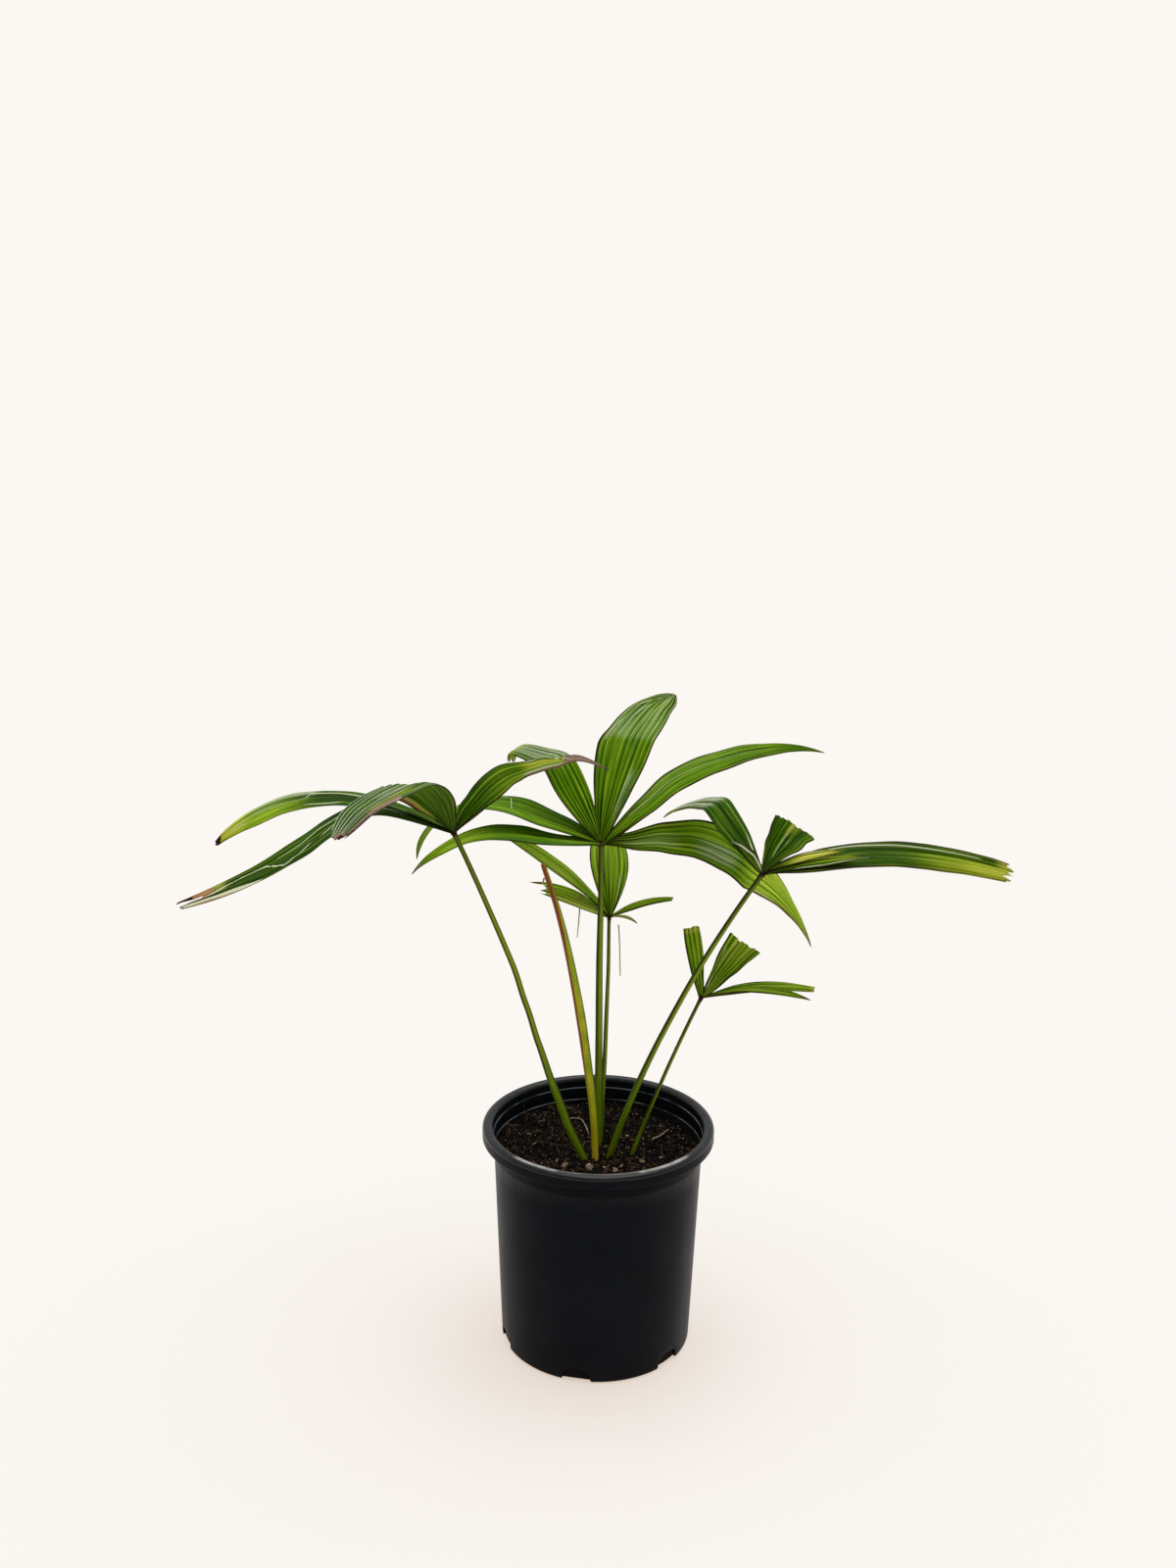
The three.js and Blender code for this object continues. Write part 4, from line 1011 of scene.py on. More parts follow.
def blade_faces(r, t):
    """Faces of both sides and the four edges of a blade, and where they lie in a flat picture of it.

    The upper face fills the lower half of the picture, and the lower face lies above it.
    """
    rows, columns = r.shape[0] - 1, r.shape[1] - 1
    count = (rows + 1) * (columns + 1)
    index = np.arange(count).reshape(rows + 1, columns + 1)
    under = index + count
    upper_faces = grid_faces(rows, columns)
    lower_faces = (upper_faces + count)[:, ::-1]
    right = np.stack([index[:-1, -1], index[1:, -1], under[1:, -1], under[:-1, -1]], -1)
    left = np.stack([under[:-1, 0], under[1:, 0], index[1:, 0], index[:-1, 0]], -1)
    base = np.stack([index[0, :-1], index[0, 1:], under[0, 1:], under[0, :-1]], -1)
    tip = np.stack([under[-1, :-1], under[-1, 1:], index[-1, 1:], index[-1, :-1]], -1)

    u = UV_MARGIN + (1 - 2 * UV_MARGIN) * r.ravel()
    v = UV_MARGIN + (0.48 - UV_MARGIN) * (t.ravel() + 1) / 2
    flat = np.concatenate([np.stack([u, v], -1), np.stack([u, 1 - v], -1)])
    uv = [flat[upper_faces.ravel()], flat[lower_faces.ravel()], flat[right.ravel()]]
    left_uv = flat[left.ravel()].reshape(-1, 4, 2)
    left_uv[:, :2, 1] = 0
    base_uv = flat[base.ravel()].reshape(-1, 4, 2)
    base_uv[:, 2, :] = base_uv[:, 1, :] * (0, 1)
    base_uv[:, 3, :] = base_uv[:, 0, :] * (0, 1)
    tip_uv = flat[tip.ravel()].reshape(-1, 4, 2)
    tip_uv[:, 0, :] = tip_uv[:, 3, :] * (0, 1) + (1, 0)
    tip_uv[:, 1, :] = tip_uv[:, 2, :] * (0, 1) + (1, 0)
    uv += [block.reshape(-1, 2) for block in (left_uv, base_uv, tip_uv)]
    return [upper_faces, lower_faces, right, left, base, tip], np.concatenate(uv)


def blade_values(leaf, r, s, t, half, width, phase, seed):
    """Numbers that the leaf material reads at each point of the upper and then the lower face."""
    single = {
        "across": t * leaf["width"] / 2,
        "along_mm": s * leaf["length"],
        "seed": np.full_like(t, seed * 3.7),
        "fold": phase,
        "pleat_width": width / leaf["pleats"],
        "rim": np.minimum((1 - np.abs(t)) * half, (1 - r) * leaf["length"] * 3),
        "rim_line": 0.95 - 0.35 * smooth((s - 0.5) / 0.4),
        "lift": np.full_like(t, leaf["lift"]),
    }
    for kind in MARK_KINDS:
        amount = np.zeros_like(t)
        for mark in leaf["marks"]:
            if mark["kind"] == kind:
                amount = np.maximum(amount, mark_amount(mark, s, t))
        single[kind] = amount
    lines = [mark for mark in leaf["marks"] if mark["kind"] == "line"]
    for number in range(LINE_COUNT):
        offset, shown = np.full_like(t, 9), np.zeros_like(t)
        if number < len(lines):
            offset, shown = line_offset(leaf, lines[number], s, t, half)
        single[f"line_{number}"] = offset
        single[f"line_{number}_on"] = shown
    values = {key: np.concatenate([array.ravel(), array.ravel()]) for key, array in single.items()}
    values["face"] = np.repeat([1.0, 0.0], t.size)
    return values


def make_blade(leaf_name, leaf, hub, material, seed):
    columns = max(16, leaf["pleats"] * BLADE_COLUMNS_PER_PLEAT)
    rows = max(24, round(leaf["length"] / BLADE_ROW))
    r, t = np.meshgrid(np.linspace(0, 1, rows + 1), np.linspace(-1, 1, columns + 1), indexing="ij")
    reach = np.ones_like(t)
    if leaf["end"]:
        places, shares = zip(*leaf["end"])
        reach = np.interp(t, places, shares)
    teeth = value_noise(t * 9, 0 * t + seed, 1.0, seed) + 0.6 * value_noise(t * 23, 0 * t, 1.0, seed + 1)
    reach = reach + leaf["ragged"] * teeth
    s = r + (reach - 1) * smooth((r - END_FROM) / (1 - END_FROM))

    width = blade_width(leaf, np.minimum(s, 1))
    half = width / 2
    if leaf["minus"]:
        half = half * np.where(t < 0, eased(leaf["minus"], s), 1)
    if leaf["plus"]:
        half = half * np.where(t > 0, eased(leaf["plus"], s), 1)
    _, across, out = blade_frame(leaf, s)
    centre = blade_spine(leaf, hub, s)
    if leaf["shift"]:
        centre = centre + across * eased(leaf["shift"], s)[..., None]
    if leaf["raised"]:
        centre = centre + np.array([0, 0, 1]) * eased(leaf["raised"], s)[..., None]

    uneven = 0.3 * value_noise(t * 2.3, 0 * t, 1.0, seed + 9) * (1 - t * t)
    phase = (t + 1) / 2 * leaf["pleats"] + 0.25 + uneven
    pleat = pleat_wave(phase)
    depth = np.minimum(leaf["depth"], 0.3 * width / leaf["pleats"])
    crown = np.where(np.abs(t) < 0.5, np.abs(t) * 2 - 0.5, 1.5 - np.abs(t) * 2) * width * CROWN_RISE
    ripple = value_noise(s * leaf["length"], t * 3 + seed, 21.0, seed + 2) * leaf["wave"] * np.abs(t)
    relief = pleat * depth + crown + ripple * np.minimum(1, width / 20)
    thick = BLADE_THICKNESS / 2 * (1 - (1 - EDGE_SHARE) * smooth((np.abs(t) - 0.9) / 0.1))
    middle = centre + across * (t * half)[..., None]
    top = middle + out * (relief + thick)[..., None]
    bottom = middle + out * (relief - thick)[..., None]

    points = np.concatenate([top.reshape(-1, 3), bottom.reshape(-1, 3)])
    blocks, uv = blade_faces(r, t)
    values = blade_values(leaf, r, s, t, half, width, phase, seed)
    piece = make_mesh(f"{leaf_name}_blade_{leaf['name']}", points, blocks, uv, values)
    node = f"{leaf_name}_leaflet_{leaf['name']}"
    nodes = (f"{node}_base", f"{node}_end") if leaf["split"] else (node,)
    finish_piece(piece, material, () if leaf["extra"] else nodes)


# Stalks, roots and fibres: tubes along a line


def tube_rings(path, radii, sides, flatten=1.0, keel=0.0):
    """Rings of points round a path. flatten thins them from front to back, keel gives three ridges."""
    path = np.asarray(path, float)
    ahead = np.gradient(path, axis=0)
    ahead /= np.linalg.norm(ahead, axis=1, keepdims=True)
    side = np.cross([0.0, 1.0, 0.0], ahead)
    weak = np.linalg.norm(side, axis=1) < 0.2
    side[weak] = np.cross([1.0, 0.0, 0.0], ahead[weak])
    side /= np.linalg.norm(side, axis=1, keepdims=True)
    front = np.cross(ahead, side)
    angle = round_angles(sides)
    shape = 1 + keel * np.cos(3 * angle)
    a = (np.cos(angle) * shape)[None, :, None]
    b = (np.sin(angle) * shape * flatten)[None, :, None]
    size = np.asarray(radii, float)[:, None, None]
    return path[:, None, :] + size * (side[:, None, :] * a + front[:, None, :] * b)


def tube_faces(rows, sides, start=0):
    r, c = np.meshgrid(np.arange(rows - 1), np.arange(sides), indexing="ij")
    a = start + r * sides + c
    b = start + r * sides + (c + 1) % sides
    return np.stack([a, b, b + sides, a + sides], -1).reshape(-1, 4)


def tube_uv(rows, sides):
    r, c = np.meshgrid(np.arange(rows - 1), np.arange(sides), indexing="ij")
    low, high = 0.04 + 0.92 * r / (rows - 1), 0.04 + 0.92 * (r + 1) / (rows - 1)
    near, far = c / sides, (c + 1) / sides
    return np.stack([near, low, far, low, far, high, near, high], -1).reshape(-1, 2)


def stalk_line(stalk, t):
    foot, top = np.array(stalk["foot"], float), np.array(stalk["top"], float)
    lean = (top - foot) * (1, 1, 0)
    lean /= np.linalg.norm(lean)
    t = np.asarray(t, float)[:, None]
    line = foot + (top - foot) * t - lean * stalk["bow"] * 4 * t * (1 - t)
    return line + np.array([1, 0, 0]) * eased(stalk["sway"], t)


def stalk_radius(radii, t):
    low, middle, high = radii
    lower = low + (middle - low) * smooth(t / 0.5)
    return np.where(t < 0.5, lower, middle + (high - middle) * (t - 0.5) / 0.5)


def make_stalk(stalk, material, node, hub_profile, seed):
    span = np.linalg.norm(np.array(stalk["top"]) - np.array(stalk["foot"]))
    t = np.linspace(-FOOT_DEPTH / span, 1 - (HUB_REACH / span if hub_profile else 0), round(span / STALK_ROW))
    radius = stalk_radius(stalk["radii"], np.maximum(t, 0))
    hub = np.zeros_like(t)
    for along, share, dark in hub_profile:
        t = np.append(t, 1 + along / span)
        radius = np.append(radius, stalk["radii"][2] * share)
        hub = np.append(hub, dark)
    path = stalk_line(stalk, t)
    path += value_noise(t * span, 0 * t + seed, STALK_SWAY_CELL, seed)[:, None] * STALK_SWAY
    rings = tube_rings(path, radius, STALK_SIDES, STALK_FLATTEN, STALK_KEEL)
    angle = round_angles(STALK_SIDES)
    groove = 1 - GROOVE_DEPTH * np.exp(-((angle - GROOVE_ANGLE) / GROOVE_WIDTH) ** 2)
    rings = path[:, None, :] + (rings - path[:, None, :]) * groove[None, :, None]
    lumps = value_noise(angle[None, :] * 3 + 0 * t[:, None], t[:, None] * span, 1.6, seed + 5)
    rings += (rings - path[:, None, :]) * (hub[:, None] * lumps * HUB_ROUGHNESS)[..., None]
    rows = len(t)
    ends = np.stack([path[0], path[-1] + (path[-1] - path[-2]) * 0.15])
    points = np.concatenate([rings.reshape(-1, 3), ends])
    first, edge = rows * STALK_SIDES, (rows - 1) * STALK_SIDES
    c, n = ring_pairs(STALK_SIDES)
    spread = np.stack([np.cos(angle), np.sin(angle)], -1) * 0.018
    start_uv = np.stack([0 * spread, spread[n], spread], 1) + (0.2, 0.02)
    end_uv = np.stack([0 * spread, spread, spread[n]], 1) + (0.6, 0.98)
    uv = np.concatenate([tube_uv(rows, STALK_SIDES), start_uv.reshape(-1, 2), end_uv.reshape(-1, 2)])

    def whole(per_row, per_side, tail):
        return np.append((per_row[:, None] + per_side[None, :]).ravel(), tail)

    flat = np.zeros(STALK_SIDES)
    values = {
        "along": whole(t, flat, (t[0], t[-1])),
        "along_mm": whole(t * span + seed * 40, flat, (0, span)),
        "around": whole(0 * t, angle, (0, 0)),
        "rim": whole(0 * t, np.abs(np.cos(angle)), (0, 0)),
        "hub": whole(hub, flat, (0, hub[-1])),
    }
    faces = [tube_faces(rows, STALK_SIDES), fan(first, n, c), fan(first + 1, edge + c, edge + n)]
    piece = make_mesh(f"{stalk['name']}_stalk", points, faces, uv, values)
    finish_piece(piece, material, (node,))


def make_tubes(name, paths, material, sides=6):
    """One piece of many thin tubes. Each path is (points, radius at the start, radius at the end)."""
    points, faces, start = [], [], 0
    for line, first, last in paths:
        line = np.asarray(line, float)
        rows = len(line)
        radii = np.linspace(first, last, rows)
        points.append(tube_rings(line, radii, sides).reshape(-1, 3))
        points.append(line[[0, -1]])
        faces.append(tube_faces(rows, sides, start))
        c, n = ring_pairs(sides)
        low, edge = start + rows * sides, start + (rows - 1) * sides
        faces.append(fan(low, start + n, start + c))
        faces.append(fan(low + 1, edge + c, edge + n))
        start += rows * sides + 2
    finish_piece(make_mesh(name, np.concatenate(points), faces), material)


def curve_through(points, steps):
    """Smooth line through a few points."""
    points = np.asarray(points, float)
    padded = np.vstack([2 * points[0] - points[1], points, 2 * points[-1] - points[-2]])
    line = []
    for a, b, c, d in zip(padded, padded[1:], padded[2:], padded[3:]):
        for t in np.linspace(0, 1, steps, endpoint=False):
            line.append(0.5 * (2 * b + (c - a) * t + (2 * a - 5 * b + 4 * c - d) * t ** 2
                               + (3 * b - a - 3 * c + d) * t ** 3))
    line.append(points[-1])
    return np.array(line)


# Pot


def inner_radius(z):
    """Inner radius of the pot's wall at height z, below the collar."""
    return BASE_RADIUS - WALL + (BODY_TOP - BASE_RADIUS) * z / COLLAR_BOTTOM


def arc(radius, height, reach, rise, start, end, count):
    angles = np.radians(np.linspace(start, end, count + 1))
    return [(radius + reach * math.cos(a), height + rise * math.sin(a)) for a in angles]


def wall_between(low, high, count):
    (r0, z0), (r1, z1) = low, high
    shares = np.linspace(0, 1, count + 1)[1:-1]
    return [(r0 + (r1 - r0) * share, z0 + (z1 - z0) * share) for share in shares]


def pot_profile():
    """Half section: underside, outer wall with collar and rim, rolled lip, inner wall, floor."""
    half = LIP_WIDTH / 2
    points = [(0, 0), (FOOT_PAD_RADIUS, 0), (FOOT_PAD_RADIUS + FOOT_RECESS, FOOT_RECESS),
              (FOOT_RING_INNER - FOOT_RECESS, FOOT_RECESS), (FOOT_RING_INNER, 0)]
    points += arc(BASE_RADIUS - BASE_ROUND, BASE_ROUND, BASE_ROUND, BASE_ROUND, -90, 0, 8)
    points += wall_between((BASE_RADIUS, BASE_ROUND), (BODY_TOP, COLLAR_BOTTOM), 12)
    points += [(BODY_TOP, COLLAR_BOTTOM - 0.35), (BODY_TOP + 0.25, COLLAR_BOTTOM),
               (COLLAR_RADIUS - 0.3, COLLAR_BOTTOM + COLLAR_STEP * 0.8),
               (COLLAR_RADIUS, COLLAR_BOTTOM + COLLAR_STEP + 0.4),
               (COLLAR_RADIUS + 0.1, BAND_BOTTOM - 0.8), (COLLAR_RADIUS + 0.7, BAND_BOTTOM)]
    points += arc(RIM_RADIUS - RIM_EDGE, BAND_BOTTOM + RIM_EDGE, RIM_EDGE, RIM_EDGE, -90, 0, 4)
    points += wall_between((RIM_RADIUS, BAND_BOTTOM + RIM_EDGE), (RIM_RADIUS, POT_HEIGHT - LIP_ROUND), 3)
    points += arc(RIM_RADIUS - half, POT_HEIGHT - LIP_ROUND, half, LIP_ROUND, 0, 180, 20)
    for step, drop in enumerate(INNER_STEPS):
        z = POT_HEIGHT - drop
        radius = RIM_INNER - step * INNER_STEP_DEPTH
        points += [(radius, z + INNER_STEP_DEPTH + 0.3), (radius - 0.15, z + INNER_STEP_DEPTH * 0.7),
                   (radius - INNER_STEP_DEPTH * 0.85, z + 0.1), (radius - INNER_STEP_DEPTH, z - 0.4)]
    inner_top = (inner_radius(COLLAR_BOTTOM), COLLAR_BOTTOM)
    inner_foot = (inner_radius(FLOOR_THICKNESS), FLOOR_THICKNESS)
    points += [inner_top, *wall_between(inner_top, inner_foot, 8), inner_foot, (0, FLOOR_THICKNESS)]
    return np.array(points)


def inside_wall(radius, height):
    """True on the inner face of the wall above the mix, which steps inwards on its way down."""
    steps = sum((height < POT_HEIGHT - drop - 1).astype(float) for drop in INNER_STEPS)
    limit = RIM_INNER + 0.2 - INNER_STEP_DEPTH * steps
    return (height > MIX_LEVEL - 2) & (radius < limit)


def lathe(name, profile, segments, shift):
    """Turned solid. The profile starts and ends on the axis, and shift moves its points in or out."""
    rings = profile[1:-1]
    angle = round_angles(segments)
    radius = np.repeat(rings[:, 0][:, None], segments, 1)
    height = np.repeat(rings[:, 1][:, None], segments, 1)
    around = np.repeat(angle[None, :], len(rings), 0)
    radius = radius + shift(radius, height, around)
    points = np.stack([radius * np.cos(around), radius * np.sin(around), height], -1).reshape(-1, 3)
    poles = np.array([[0, 0, profile[0, 1]], [0, 0, profile[-1, 1]]])
    first = len(points)
    c, n = ring_pairs(segments)
    top = first - segments
    caps = [fan(first, n, c), fan(first + 1, top + c, top + n)]
    return make_mesh(name, np.concatenate([points, poles]), [tube_faces(len(rings), segments), *caps])


def seam_shift(radius, height, around):
    """A fine raised seam up the inside of the wall, above the mix."""
    gap = np.degrees(around) - SEAM_ANGLE
    width = math.degrees(SEAM_WIDTH / BASE_RADIUS)
    return -SEAM_RISE * inside_wall(radius, height) * smooth(1.6 - np.abs(gap) / width)


def slot_outline():
    half = SLOT_WIDTH / 2
    foot = half + SLOT_FLARE
    rise = np.linspace(0, 1, SLOT_CURVE_POINTS)[:, None]

    def bend(start, control, end):
        start, control, end = (np.array(p, float) for p in (start, control, end))
        return start * (1 - rise) ** 2 + control * 2 * rise * (1 - rise) + end * rise ** 2

    flare = bend((foot, 0), (half, 0), (half, SLOT_FLARE))
    crown = bend((half, SLOT_SHOULDER), (half * SLOT_FULLNESS, SLOT_HEIGHT), (0, SLOT_HEIGHT))
    right = np.vstack([[foot, -SLOT_OVERCUT], flare, crown])
    left = (right * (-1, 1))[::-1][1:]
    return np.vstack([right, left])


def slot_cutters():
    """All the notch cutters as one mesh of closed bell-shaped blocks."""
    outline = slot_outline()
    count = len(outline)
    points, faces = [], []
    for number in range(SLOT_COUNT):
        turn = math.radians(FIRST_SLOT + number * 360 / SLOT_COUNT)
        out = np.array([math.cos(turn), math.sin(turn), 0])
        side = np.array([-math.sin(turn), math.cos(turn), 0])
        up = np.array([0, 0, 1])
        for reach in (BASE_RADIUS - SLOT_DEPTH / 2, BASE_RADIUS + SLOT_DEPTH / 2):
            points.append(out * reach + outline[:, :1] * side + outline[:, 1:] * up)
        start = number * 2 * count
        c, n = ring_pairs(count)
        faces.append(np.stack([start + c, start + n, start + count + n, start + count + c], -1))
        faces.append((start + c)[None, ::-1])
        faces.append((start + count + c)[None, :])
    return make_mesh("slot_cutters", np.concatenate(points), faces)


def apply_modifiers(piece):
    graph = bpy.context.evaluated_depsgraph_get()
    finished = bpy.data.meshes.new_from_object(piece.evaluated_get(graph))
    piece.modifiers.clear()
    piece.data = finished


def make_pot():
    pot = lathe("pot_shell", pot_profile(), POT_SEGMENTS, seam_shift)
    cutters = slot_cutters()
    cut = pot.modifiers.new("notches", "BOOLEAN")
    cut.operation = "DIFFERENCE"
    cut.solver = "EXACT"
    cut.object = cutters
    apply_modifiers(pot)
    bpy.data.objects.remove(cutters)
    edge = pot.modifiers.new("soft_edges", "BEVEL")
    edge.width = SLOT_BEVEL * MM
    edge.segments = 2
    edge.limit_method = "ANGLE"
    edge.angle_limit = math.radians(SLOT_BEVEL_ANGLE)
    apply_modifiers(pot)
    mesh = pot.data
    mesh.shade_smooth()
    mesh.set_sharp_from_angle(angle=math.radians(POT_SHARP_ANGLE))
    co = np.zeros(len(mesh.vertices) * 3, np.float32)
    mesh.vertices.foreach_get("co", co)
    x, y, z = co.reshape(-1, 3).T / MM
    radius = np.hypot(x, y)
    angle = np.degrees(np.arctan2(y, x)) % 360
    inside = inside_wall(radius, z)
    dust = np.where(inside, smooth((MIX_LEVEL + 22 - z) / 20), 0)
    # Painted highlights on the two inner ledges; the seam line below gets them too
    ledge_highlight = np.zeros_like(z)
    for drop in INNER_STEPS:
        above = z - (POT_HEIGHT - drop)
        ledge_highlight = np.maximum(ledge_highlight, inside & (above > 0) & (above < INNER_STEP_DEPTH))
    seam = inside & (np.abs(angle - SEAM_ANGLE) < 0.5) & (z < POT_HEIGHT - LIP_ROUND - 1)
    # Painted highlights along the lip's crest
    gleam = np.zeros_like(z)
    for start, end, place, strength in LIP_GLEAMS:
        beside = strength * smooth((angle - start) / 5) * smooth((end - angle) / 5)
        gleam = np.maximum(gleam, beside * smooth((2.8 - np.abs(radius - place)) / 1.2))
    # lip carries wear and painted sheen; collar and front carry painted shade; the ledge and gleam values
    # carry painted highlights
    values = {
        "lip": smooth((z - (POT_HEIGHT - 5)) / 5) * smooth((radius - 97) / 3),
        "dust": np.maximum(dust, 0.35 * smooth((8 - z) / 8)),
        "inner": inside,
        "collar": smooth((z - BAND_BOTTOM + COLLAR_BAND) / 3) * smooth(BAND_BOTTOM + 1 - z),
        "ledge_highlight": np.maximum(ledge_highlight, 0.8 * seam),
        "front": smooth((-y / np.maximum(radius, 1) - 0.45) / 0.35),
        "gleam": gleam,
    }
    add_values(mesh, values)
    finish_piece(pot, pot_material(), ("pot",))
    mesh.materials.append(lip_material())
    for face in mesh.polygons:
        place = face.center / MM
        if place.z > POT_HEIGHT - LIP_ROUND - 1 and math.hypot(place.x, place.y) > RIM_INNER:
            face.material_index = 1


# Potting mix


def mix_height(x, y):
    height = MIX_LEVEL + x * MIX_TILT + MIX_DISH * ((x * x + y * y) / BASE_RADIUS ** 2)
    for rise, length, breadth, phase in MIX_LUMPS:
        across = np.cos(y * 2 * np.pi / breadth)
        height = height + rise * np.sin(x * 2 * np.pi / length + phase) * across
    return height


def mix_relief(x, y):
    """Height of the crumbly surface itself, over the even lie of the mix."""
    relief = 1.3 * value_noise(x, y, 9.0, 31) + 0.9 * value_noise(x, y, 4.1, 32)
    return mix_height(x, y) + relief + 0.5 * value_noise(x, y, 1.9, 33)


def make_mix_body(material):
    shoulder = MIX_LEVEL - MIX_EDGE_DROP
    bottom = FLOOR_THICKNESS + MIX_FLOOR_GAP
    edge = inner_radius(shoulder) - MIX_CLEAR
    foot = inner_radius(bottom) - MIX_CLEAR
    angle = round_angles(MIX_SEGMENTS)
    rows = []
    for radius in np.linspace(0, edge, MIX_RINGS + 1)[1:]:
        x, y = radius * np.cos(angle), radius * np.sin(angle)
        rows.append(np.stack([x, y, mix_relief(x, y)], -1))
    for share in np.linspace(0, 1, MIX_SIDE_ROWS):
        z = shoulder + (bottom - shoulder) * share
        radius = edge + (foot - edge) * share
        dent = MIX_SIDE_DENT * np.abs(value_noise(angle * radius, 0 * angle + z, 5.0, 41))
        radius = radius - (dent if 0 < share < 1 else 0)
        rows.append(np.stack([radius * np.cos(angle), radius * np.sin(angle), 0 * angle + z], -1))
    points = np.concatenate(rows + [np.array([[0, 0, mix_relief(0, 0)], [0, 0, bottom]])])
    c, n = ring_pairs(MIX_SEGMENTS)
    last = (len(rows) - 1) * MIX_SEGMENTS
    top, base = len(points) - 2, len(points) - 1
    sides = tube_faces(len(rows), MIX_SEGMENTS)[:, ::-1]
    faces = [sides, fan(top, c, n), fan(base, last + n, last + c)]
    body = make_mesh("mix_body", points, faces)
    finish_piece(body, material, ("potting_mix",))


def rough_lump(faces_level, seed):
    """An irregular stone or bark shape about one unit wide, as points and triangles."""
    shape = bmesh.new()
    bmesh.ops.create_icosphere(shape, subdivisions=faces_level, radius=0.5)
    points = np.array([v.co[:] for v in shape.verts])
    triangles = np.array([[v.index for v in f.verts] for f in shape.faces])
    shape.free()
    random = np.random.default_rng(seed)
    return points * random.uniform(0.72, 1.2, (len(points), 1)), triangles


def random_turns(random, count, tilt):
    """Turning matrices: any heading, and leaning from flat by up to about tilt radians."""
    heading = random.uniform(0, 2 * np.pi, count)
    lean = random.normal(0, tilt, count)
    roll = random.normal(0, tilt, count)
    turns = np.empty((count, 3, 3))
    for i, (h, a, b) in enumerate(zip(heading, lean, roll)):
        turns[i] = np.array(Matrix.Rotation(h, 3, "Z") @ Matrix.Rotation(a, 3, "X")
                            @ Matrix.Rotation(b, 3, "Y"))
    return turns


def mix_places(random, count, inset):
    radius = (inner_radius(MIX_LEVEL) - inset) * np.sqrt(random.uniform(0, 1, count))
    angle = random.uniform(0, 2 * np.pi, count)
    return radius * np.cos(angle), radius * np.sin(angle)


def scatter(name, count, sizes, shape, material, seed, level=1, tilt=0.5, sink=0.25, places=None):
    """Lumps strewn on the mix, joined in one piece. shape is the least and most of breadth and depth."""
    random = np.random.default_rng(seed)
    if places is None:
        x, y = mix_places(random, count, 2.5)
        length = sizes[0] + (sizes[1] - sizes[0]) * random.uniform(0, 1, count) ** 2.2
    else:
        x, y, length = (np.array(column, float) for column in zip(*places))
        count = len(x)
    (broad0, broad1), (deep0, deep1) = shape
    scale = np.stack([length, length * random.uniform(broad0, broad1, count),
                      length * random.uniform(deep0, deep1, count)], -1)
    turns = random_turns(random, count, tilt)
    variants = [rough_lump(level, seed + k) for k in range(LUMP_VARIANTS)]
    triangles = variants[0][1]
    size = len(variants[0][0])
    points = np.empty((count, size, 3))
    for i in range(count):
        points[i] = (variants[i % LUMP_VARIANTS][0] * scale[i]) @ turns[i].T
    lift = scale[:, 2] * (0.5 - sink)
    points += np.stack([x, y, mix_relief(x, y) + lift], -1)[:, None, :]
    limit = inner_radius(MIX_LEVEL) - 0.6
    radius = np.hypot(points[..., 0], points[..., 1])
    points[..., :2] *= np.minimum(1, limit / np.maximum(radius, 1))[..., None]
    faces = (triangles[None] + np.arange(count)[:, None, None] * size).reshape(-1, 3)
    piece = make_mesh(name, points.reshape(-1, 3), [faces], sharp=28)
    finish_piece(piece, material)


def loose_fibre(random, x, y, length, curl):
    """A thin root lying on the mix, curling as it goes."""
    heading = random.uniform(0, 2 * np.pi)
    turn = random.normal(0, curl)
    points = []
    for _ in range(FIBRE_STEPS):
        points.append((x, y, mix_relief(x, y) + 0.7 + random.uniform(0, 1.0)))
        x += math.cos(heading) * length / FIBRE_STEPS
        y += math.sin(heading) * length / FIBRE_STEPS
        heading += turn + random.normal(0, 0.25)
        if math.hypot(x, y) > inner_radius(MIX_LEVEL) - 3:
            break
    return curve_through(points, 4) if len(points) > 2 else None


def on_mix(points, lift):
    return curve_through([(x, y, float(mix_relief(x, y)) + lift) for x, y in points], 8)


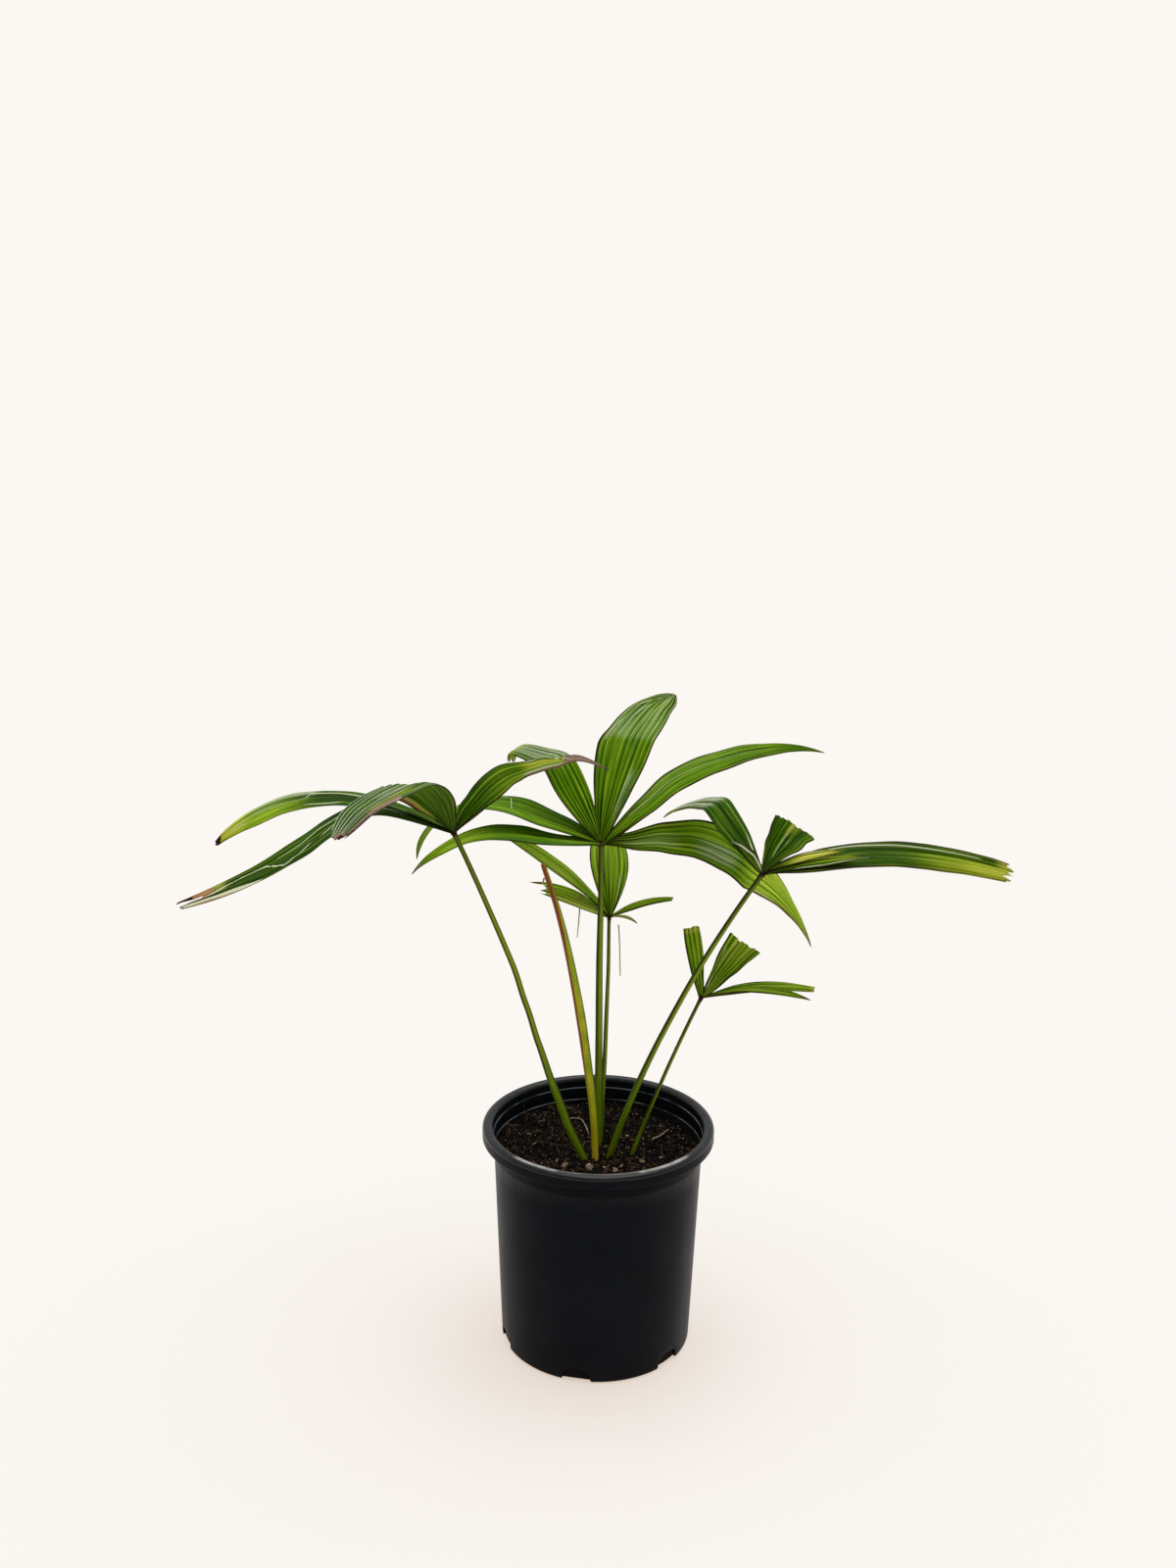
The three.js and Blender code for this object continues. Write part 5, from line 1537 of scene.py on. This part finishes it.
def make_mix():
    black = crumb_material("mix_black_crumbs", "040302", "130d0a", 0.8, 0.7)
    brown = crumb_material("mix_brown_bark", "1a0f09", "5e432b", 0.82, 0.6)
    tan = crumb_material("mix_tan_chips", "6b533c", "bda386", 0.85, 0.5)
    straw = crumb_material("mix_root_fibre", "3f3020", "8f7850", 0.75, 0.4)
    make_mix_body(black)
    scatter("mix_fine_crumbs", 3600, (1.2, 4.2), ((0.6, 1.0), (0.45, 0.9)), black, 51)
    scatter("mix_bark_crumbs", 1500, (1.2, 5.5), ((0.4, 0.8), (0.25, 0.6)), brown, 52)
    scatter("mix_bark_pieces", 170, (4.5, 10), ((0.35, 0.6), (0.2, 0.35)), brown, 53, level=2, tilt=0.45)
    scatter("mix_dark_pieces", 200, (4.5, 9), ((0.4, 0.7), (0.25, 0.45)), black, 54, level=2, tilt=0.45)
    scatter("mix_tan_crumbs", 820, (0.7, 3.2), ((0.5, 0.9), (0.3, 0.6)), tan, 55)
    chips = ((-31, -32, 8), (-38, -26, 6), (6.5, -30, 6), (15.5, -36, 9), (22, -31, 7), (28.5, 31.9, 6),
             (-60.4, 0.8, 6), (41.2, -17, 7), (28, 8.7, 5), (-67, 18.7, 5), (60, -12, 6), (-7.5, 23.7, 5))
    scatter("mix_tan_chips", 0, (0, 0), ((0.45, 0.65), (0.25, 0.4)), tan, 56, level=2, tilt=0.3,
            sink=0.1, places=chips)
    scatter("mix_round_pebble", 0, (0, 0), ((0.9, 0.95), (0.75, 0.8)),
            crumb_material("mix_pebble", "7d6a58", "b7a48e", 0.6, 0.35), 57, level=3, tilt=0.2,
            sink=0.1, places=((-8.6, -32, 7.8),))
    random = np.random.default_rng(61)
    paths = []
    for _ in range(FIBRE_COUNT):
        x, y = (float(v[0]) for v in mix_places(random, 1, 6))
        line = loose_fibre(random, x, y, random.uniform(*FIBRE_LENGTHS), 0.22)
        if line is not None:
            radius = random.uniform(*FIBRE_RADII)
            paths.append((line, radius, radius * 0.5))
    make_tubes("mix_fibres", paths, straw)
    root = on_mix([(-26.9, 61.1), (-17.3, 60.5), (-12.4, 49.9), (-9.5, 36.9), (-9, 30)], 1.9)
    roots = [
        (root, 0.75, 0.5),
        (on_mix([(52.8, 24.2), (60, 31), (68.6, 38.8)], 1.6), 0.9, 0.6),
        (curve_through([(-17, -4, 188), (-14.5, -3, 194), (-12.5, -2, 199)], 8), 0.5, 0.3),
    ]
    pale = crumb_material("mix_pale_root", "857763", "c9bfac", 0.75, 0.4)
    make_tubes("mix_roots", roots, pale)


# The whole plant


def make_threads(material):
    """Fine torn threads: two that hang beside the inner leaf and one near the tip of the old spear."""
    paths = [
        (curve_through([(-19.4, 58, 424.5), (-20.6, 57.6, 402), (-22.2, 58, 380.4)], 10), 0.85, 0.35),
        (curve_through([(17.0, 61, 393), (17.9, 60, 382), (18.7, 60, 364), (19.6, 60, 341.5)], 10),
         0.6, 0.45),
        (curve_through([(-52.2, -10.5, 461), (-53.6, -11, 456.5), (-55.6, -11, 455.2)], 8), 0.8, 0.35),
    ]
    make_tubes("torn_threads", paths, material, sides=8)


def make_plant():
    tones = {
        "dark": leaf_material("leaf_dark_green", "264802", "4a7705", "94b32c"),
        "green": leaf_material("leaf_mid_green", "3b6803", "6c9a08", "acc931"),
        "pale": leaf_material("leaf_light_green", "527d06", "84ac0e", "c6dc42"),
    }
    green_stalk = stalk_material("stalk_green", "7c8a14", "8aac10", "76911a", "3c5a0a",
                                 ("98a41c", -68), 0.74, 0.0, 0.85)
    spear_stalk = stalk_material("stalk_old_spear", "ffe44a", "fff01e", "a9b92a", "8a9a24",
                                 ("8f4526", 180), 0.15, 1.0, 0.0)
    seed = 1
    for leaf in LEAVES:
        make_stalk(leaf, green_stalk, f"{leaf['name']}_petiole", HUB_PROFILE, seed)
        for blade in leaf["leaflets"]:
            seed += 1
            make_blade(leaf["name"], blade, leaf["top"], tones[leaf["tone"]], seed)
    make_stalk(SPEAR, spear_stalk, "old_spear", (), seed + 1)
    make_threads(crumb_material("dry_thread", "75682a", "b5a95e", 0.7, 0.6))


# Floor, light and camera


def make_stage():
    bpy.ops.mesh.primitive_plane_add(size=FLOOR_SIZE, location=(0, 0, -FLOOR_DROP))
    floor = bpy.context.object
    floor.name = "floor"
    g = Graph("floor_paper")
    mottle = g.noise(g.place(), 0.3, 2.0)
    tone = g.mix(g.step(mottle, 0.3, 0.7), colour("91a2ac"), colour("93a4ae"))
    g.shader.inputs["Emission Color"].default_value = colour("ffead9")
    g.shader.inputs["Emission Strength"].default_value = FLOOR_GLOW
    floor.data.materials.append(g.finish(tone, 0.9, specular=0.0))


def make_light():
    """A broad soft light from above, and a room that is paler behind and beside than in front."""
    sun = bpy.data.lights.new("overhead", "SUN")
    sun.energy = SUN_STRENGTH
    sun.angle = math.radians(SUN_SPREAD)
    sun.color = SUN_COLOUR
    lamp = bpy.data.objects.new("overhead", sun)
    lamp.rotation_euler = (math.radians(SUN_LEAN[0]), math.radians(SUN_LEAN[1]), 0)
    bpy.context.scene.collection.objects.link(lamp)

    world = bpy.data.worlds.new("studio")
    world.use_nodes = True
    bpy.context.scene.world = world
    tree = world.node_tree
    tree.nodes.clear()
    output = tree.nodes.new("ShaderNodeOutputWorld")
    seen = tree.nodes.new("ShaderNodeBackground")
    seen.inputs["Color"].default_value = colour("fbf7f2")
    room = tree.nodes.new("ShaderNodeBackground")
    coordinate = tree.nodes.new("ShaderNodeTexCoord")
    split = tree.nodes.new("ShaderNodeSeparateXYZ")
    tree.links.new(coordinate.outputs["Generated"], split.inputs[0])
    back = tree.nodes.new("ShaderNodeMapRange")
    back.interpolation_type = "SMOOTHSTEP"
    set_inputs(back, {"From Min": ROOM_SPAN[0], "From Max": ROOM_SPAN[1],
                      "To Min": ROOM_STRENGTH[0], "To Max": ROOM_STRENGTH[1]})
    tree.links.new(split.outputs["Y"], back.inputs["Value"])
    tree.links.new(back.outputs[0], room.inputs["Strength"])
    room.inputs["Color"].default_value = ROOM_COLOUR
    path = tree.nodes.new("ShaderNodeLightPath")
    choose = tree.nodes.new("ShaderNodeMixShader")
    tree.links.new(path.outputs["Is Camera Ray"], choose.inputs[0])
    tree.links.new(room.outputs[0], choose.inputs[1])
    tree.links.new(seen.outputs[0], choose.inputs[2])
    tree.links.new(choose.outputs[0], output.inputs["Surface"])
    bpy.context.scene.view_settings.view_transform = "Standard"


def make_camera():
    lens = bpy.data.cameras.new("photo_camera")
    lens.sensor_fit = "HORIZONTAL"
    lens.sensor_width = SENSOR_WIDTH
    lens.lens = SENSOR_WIDTH * FOCAL_PIXELS / IMAGE_WIDTH
    lens.clip_start = 0.01
    camera = bpy.data.objects.new("photo_camera", lens)
    place = Matrix.Translation([c * MM for c in CAMERA_PLACE])
    pitch = Matrix.Rotation(math.radians(90 - CAMERA_PITCH), 4, "X")
    roll = Matrix.Rotation(math.radians(CAMERA_ROLL), 4, "Z")
    camera.matrix_world = place @ pitch @ roll
    bpy.context.scene.collection.objects.link(camera)
    bpy.context.scene.camera = camera


make_camera()
make_light()
make_stage()
make_pot()
make_mix()
make_plant()
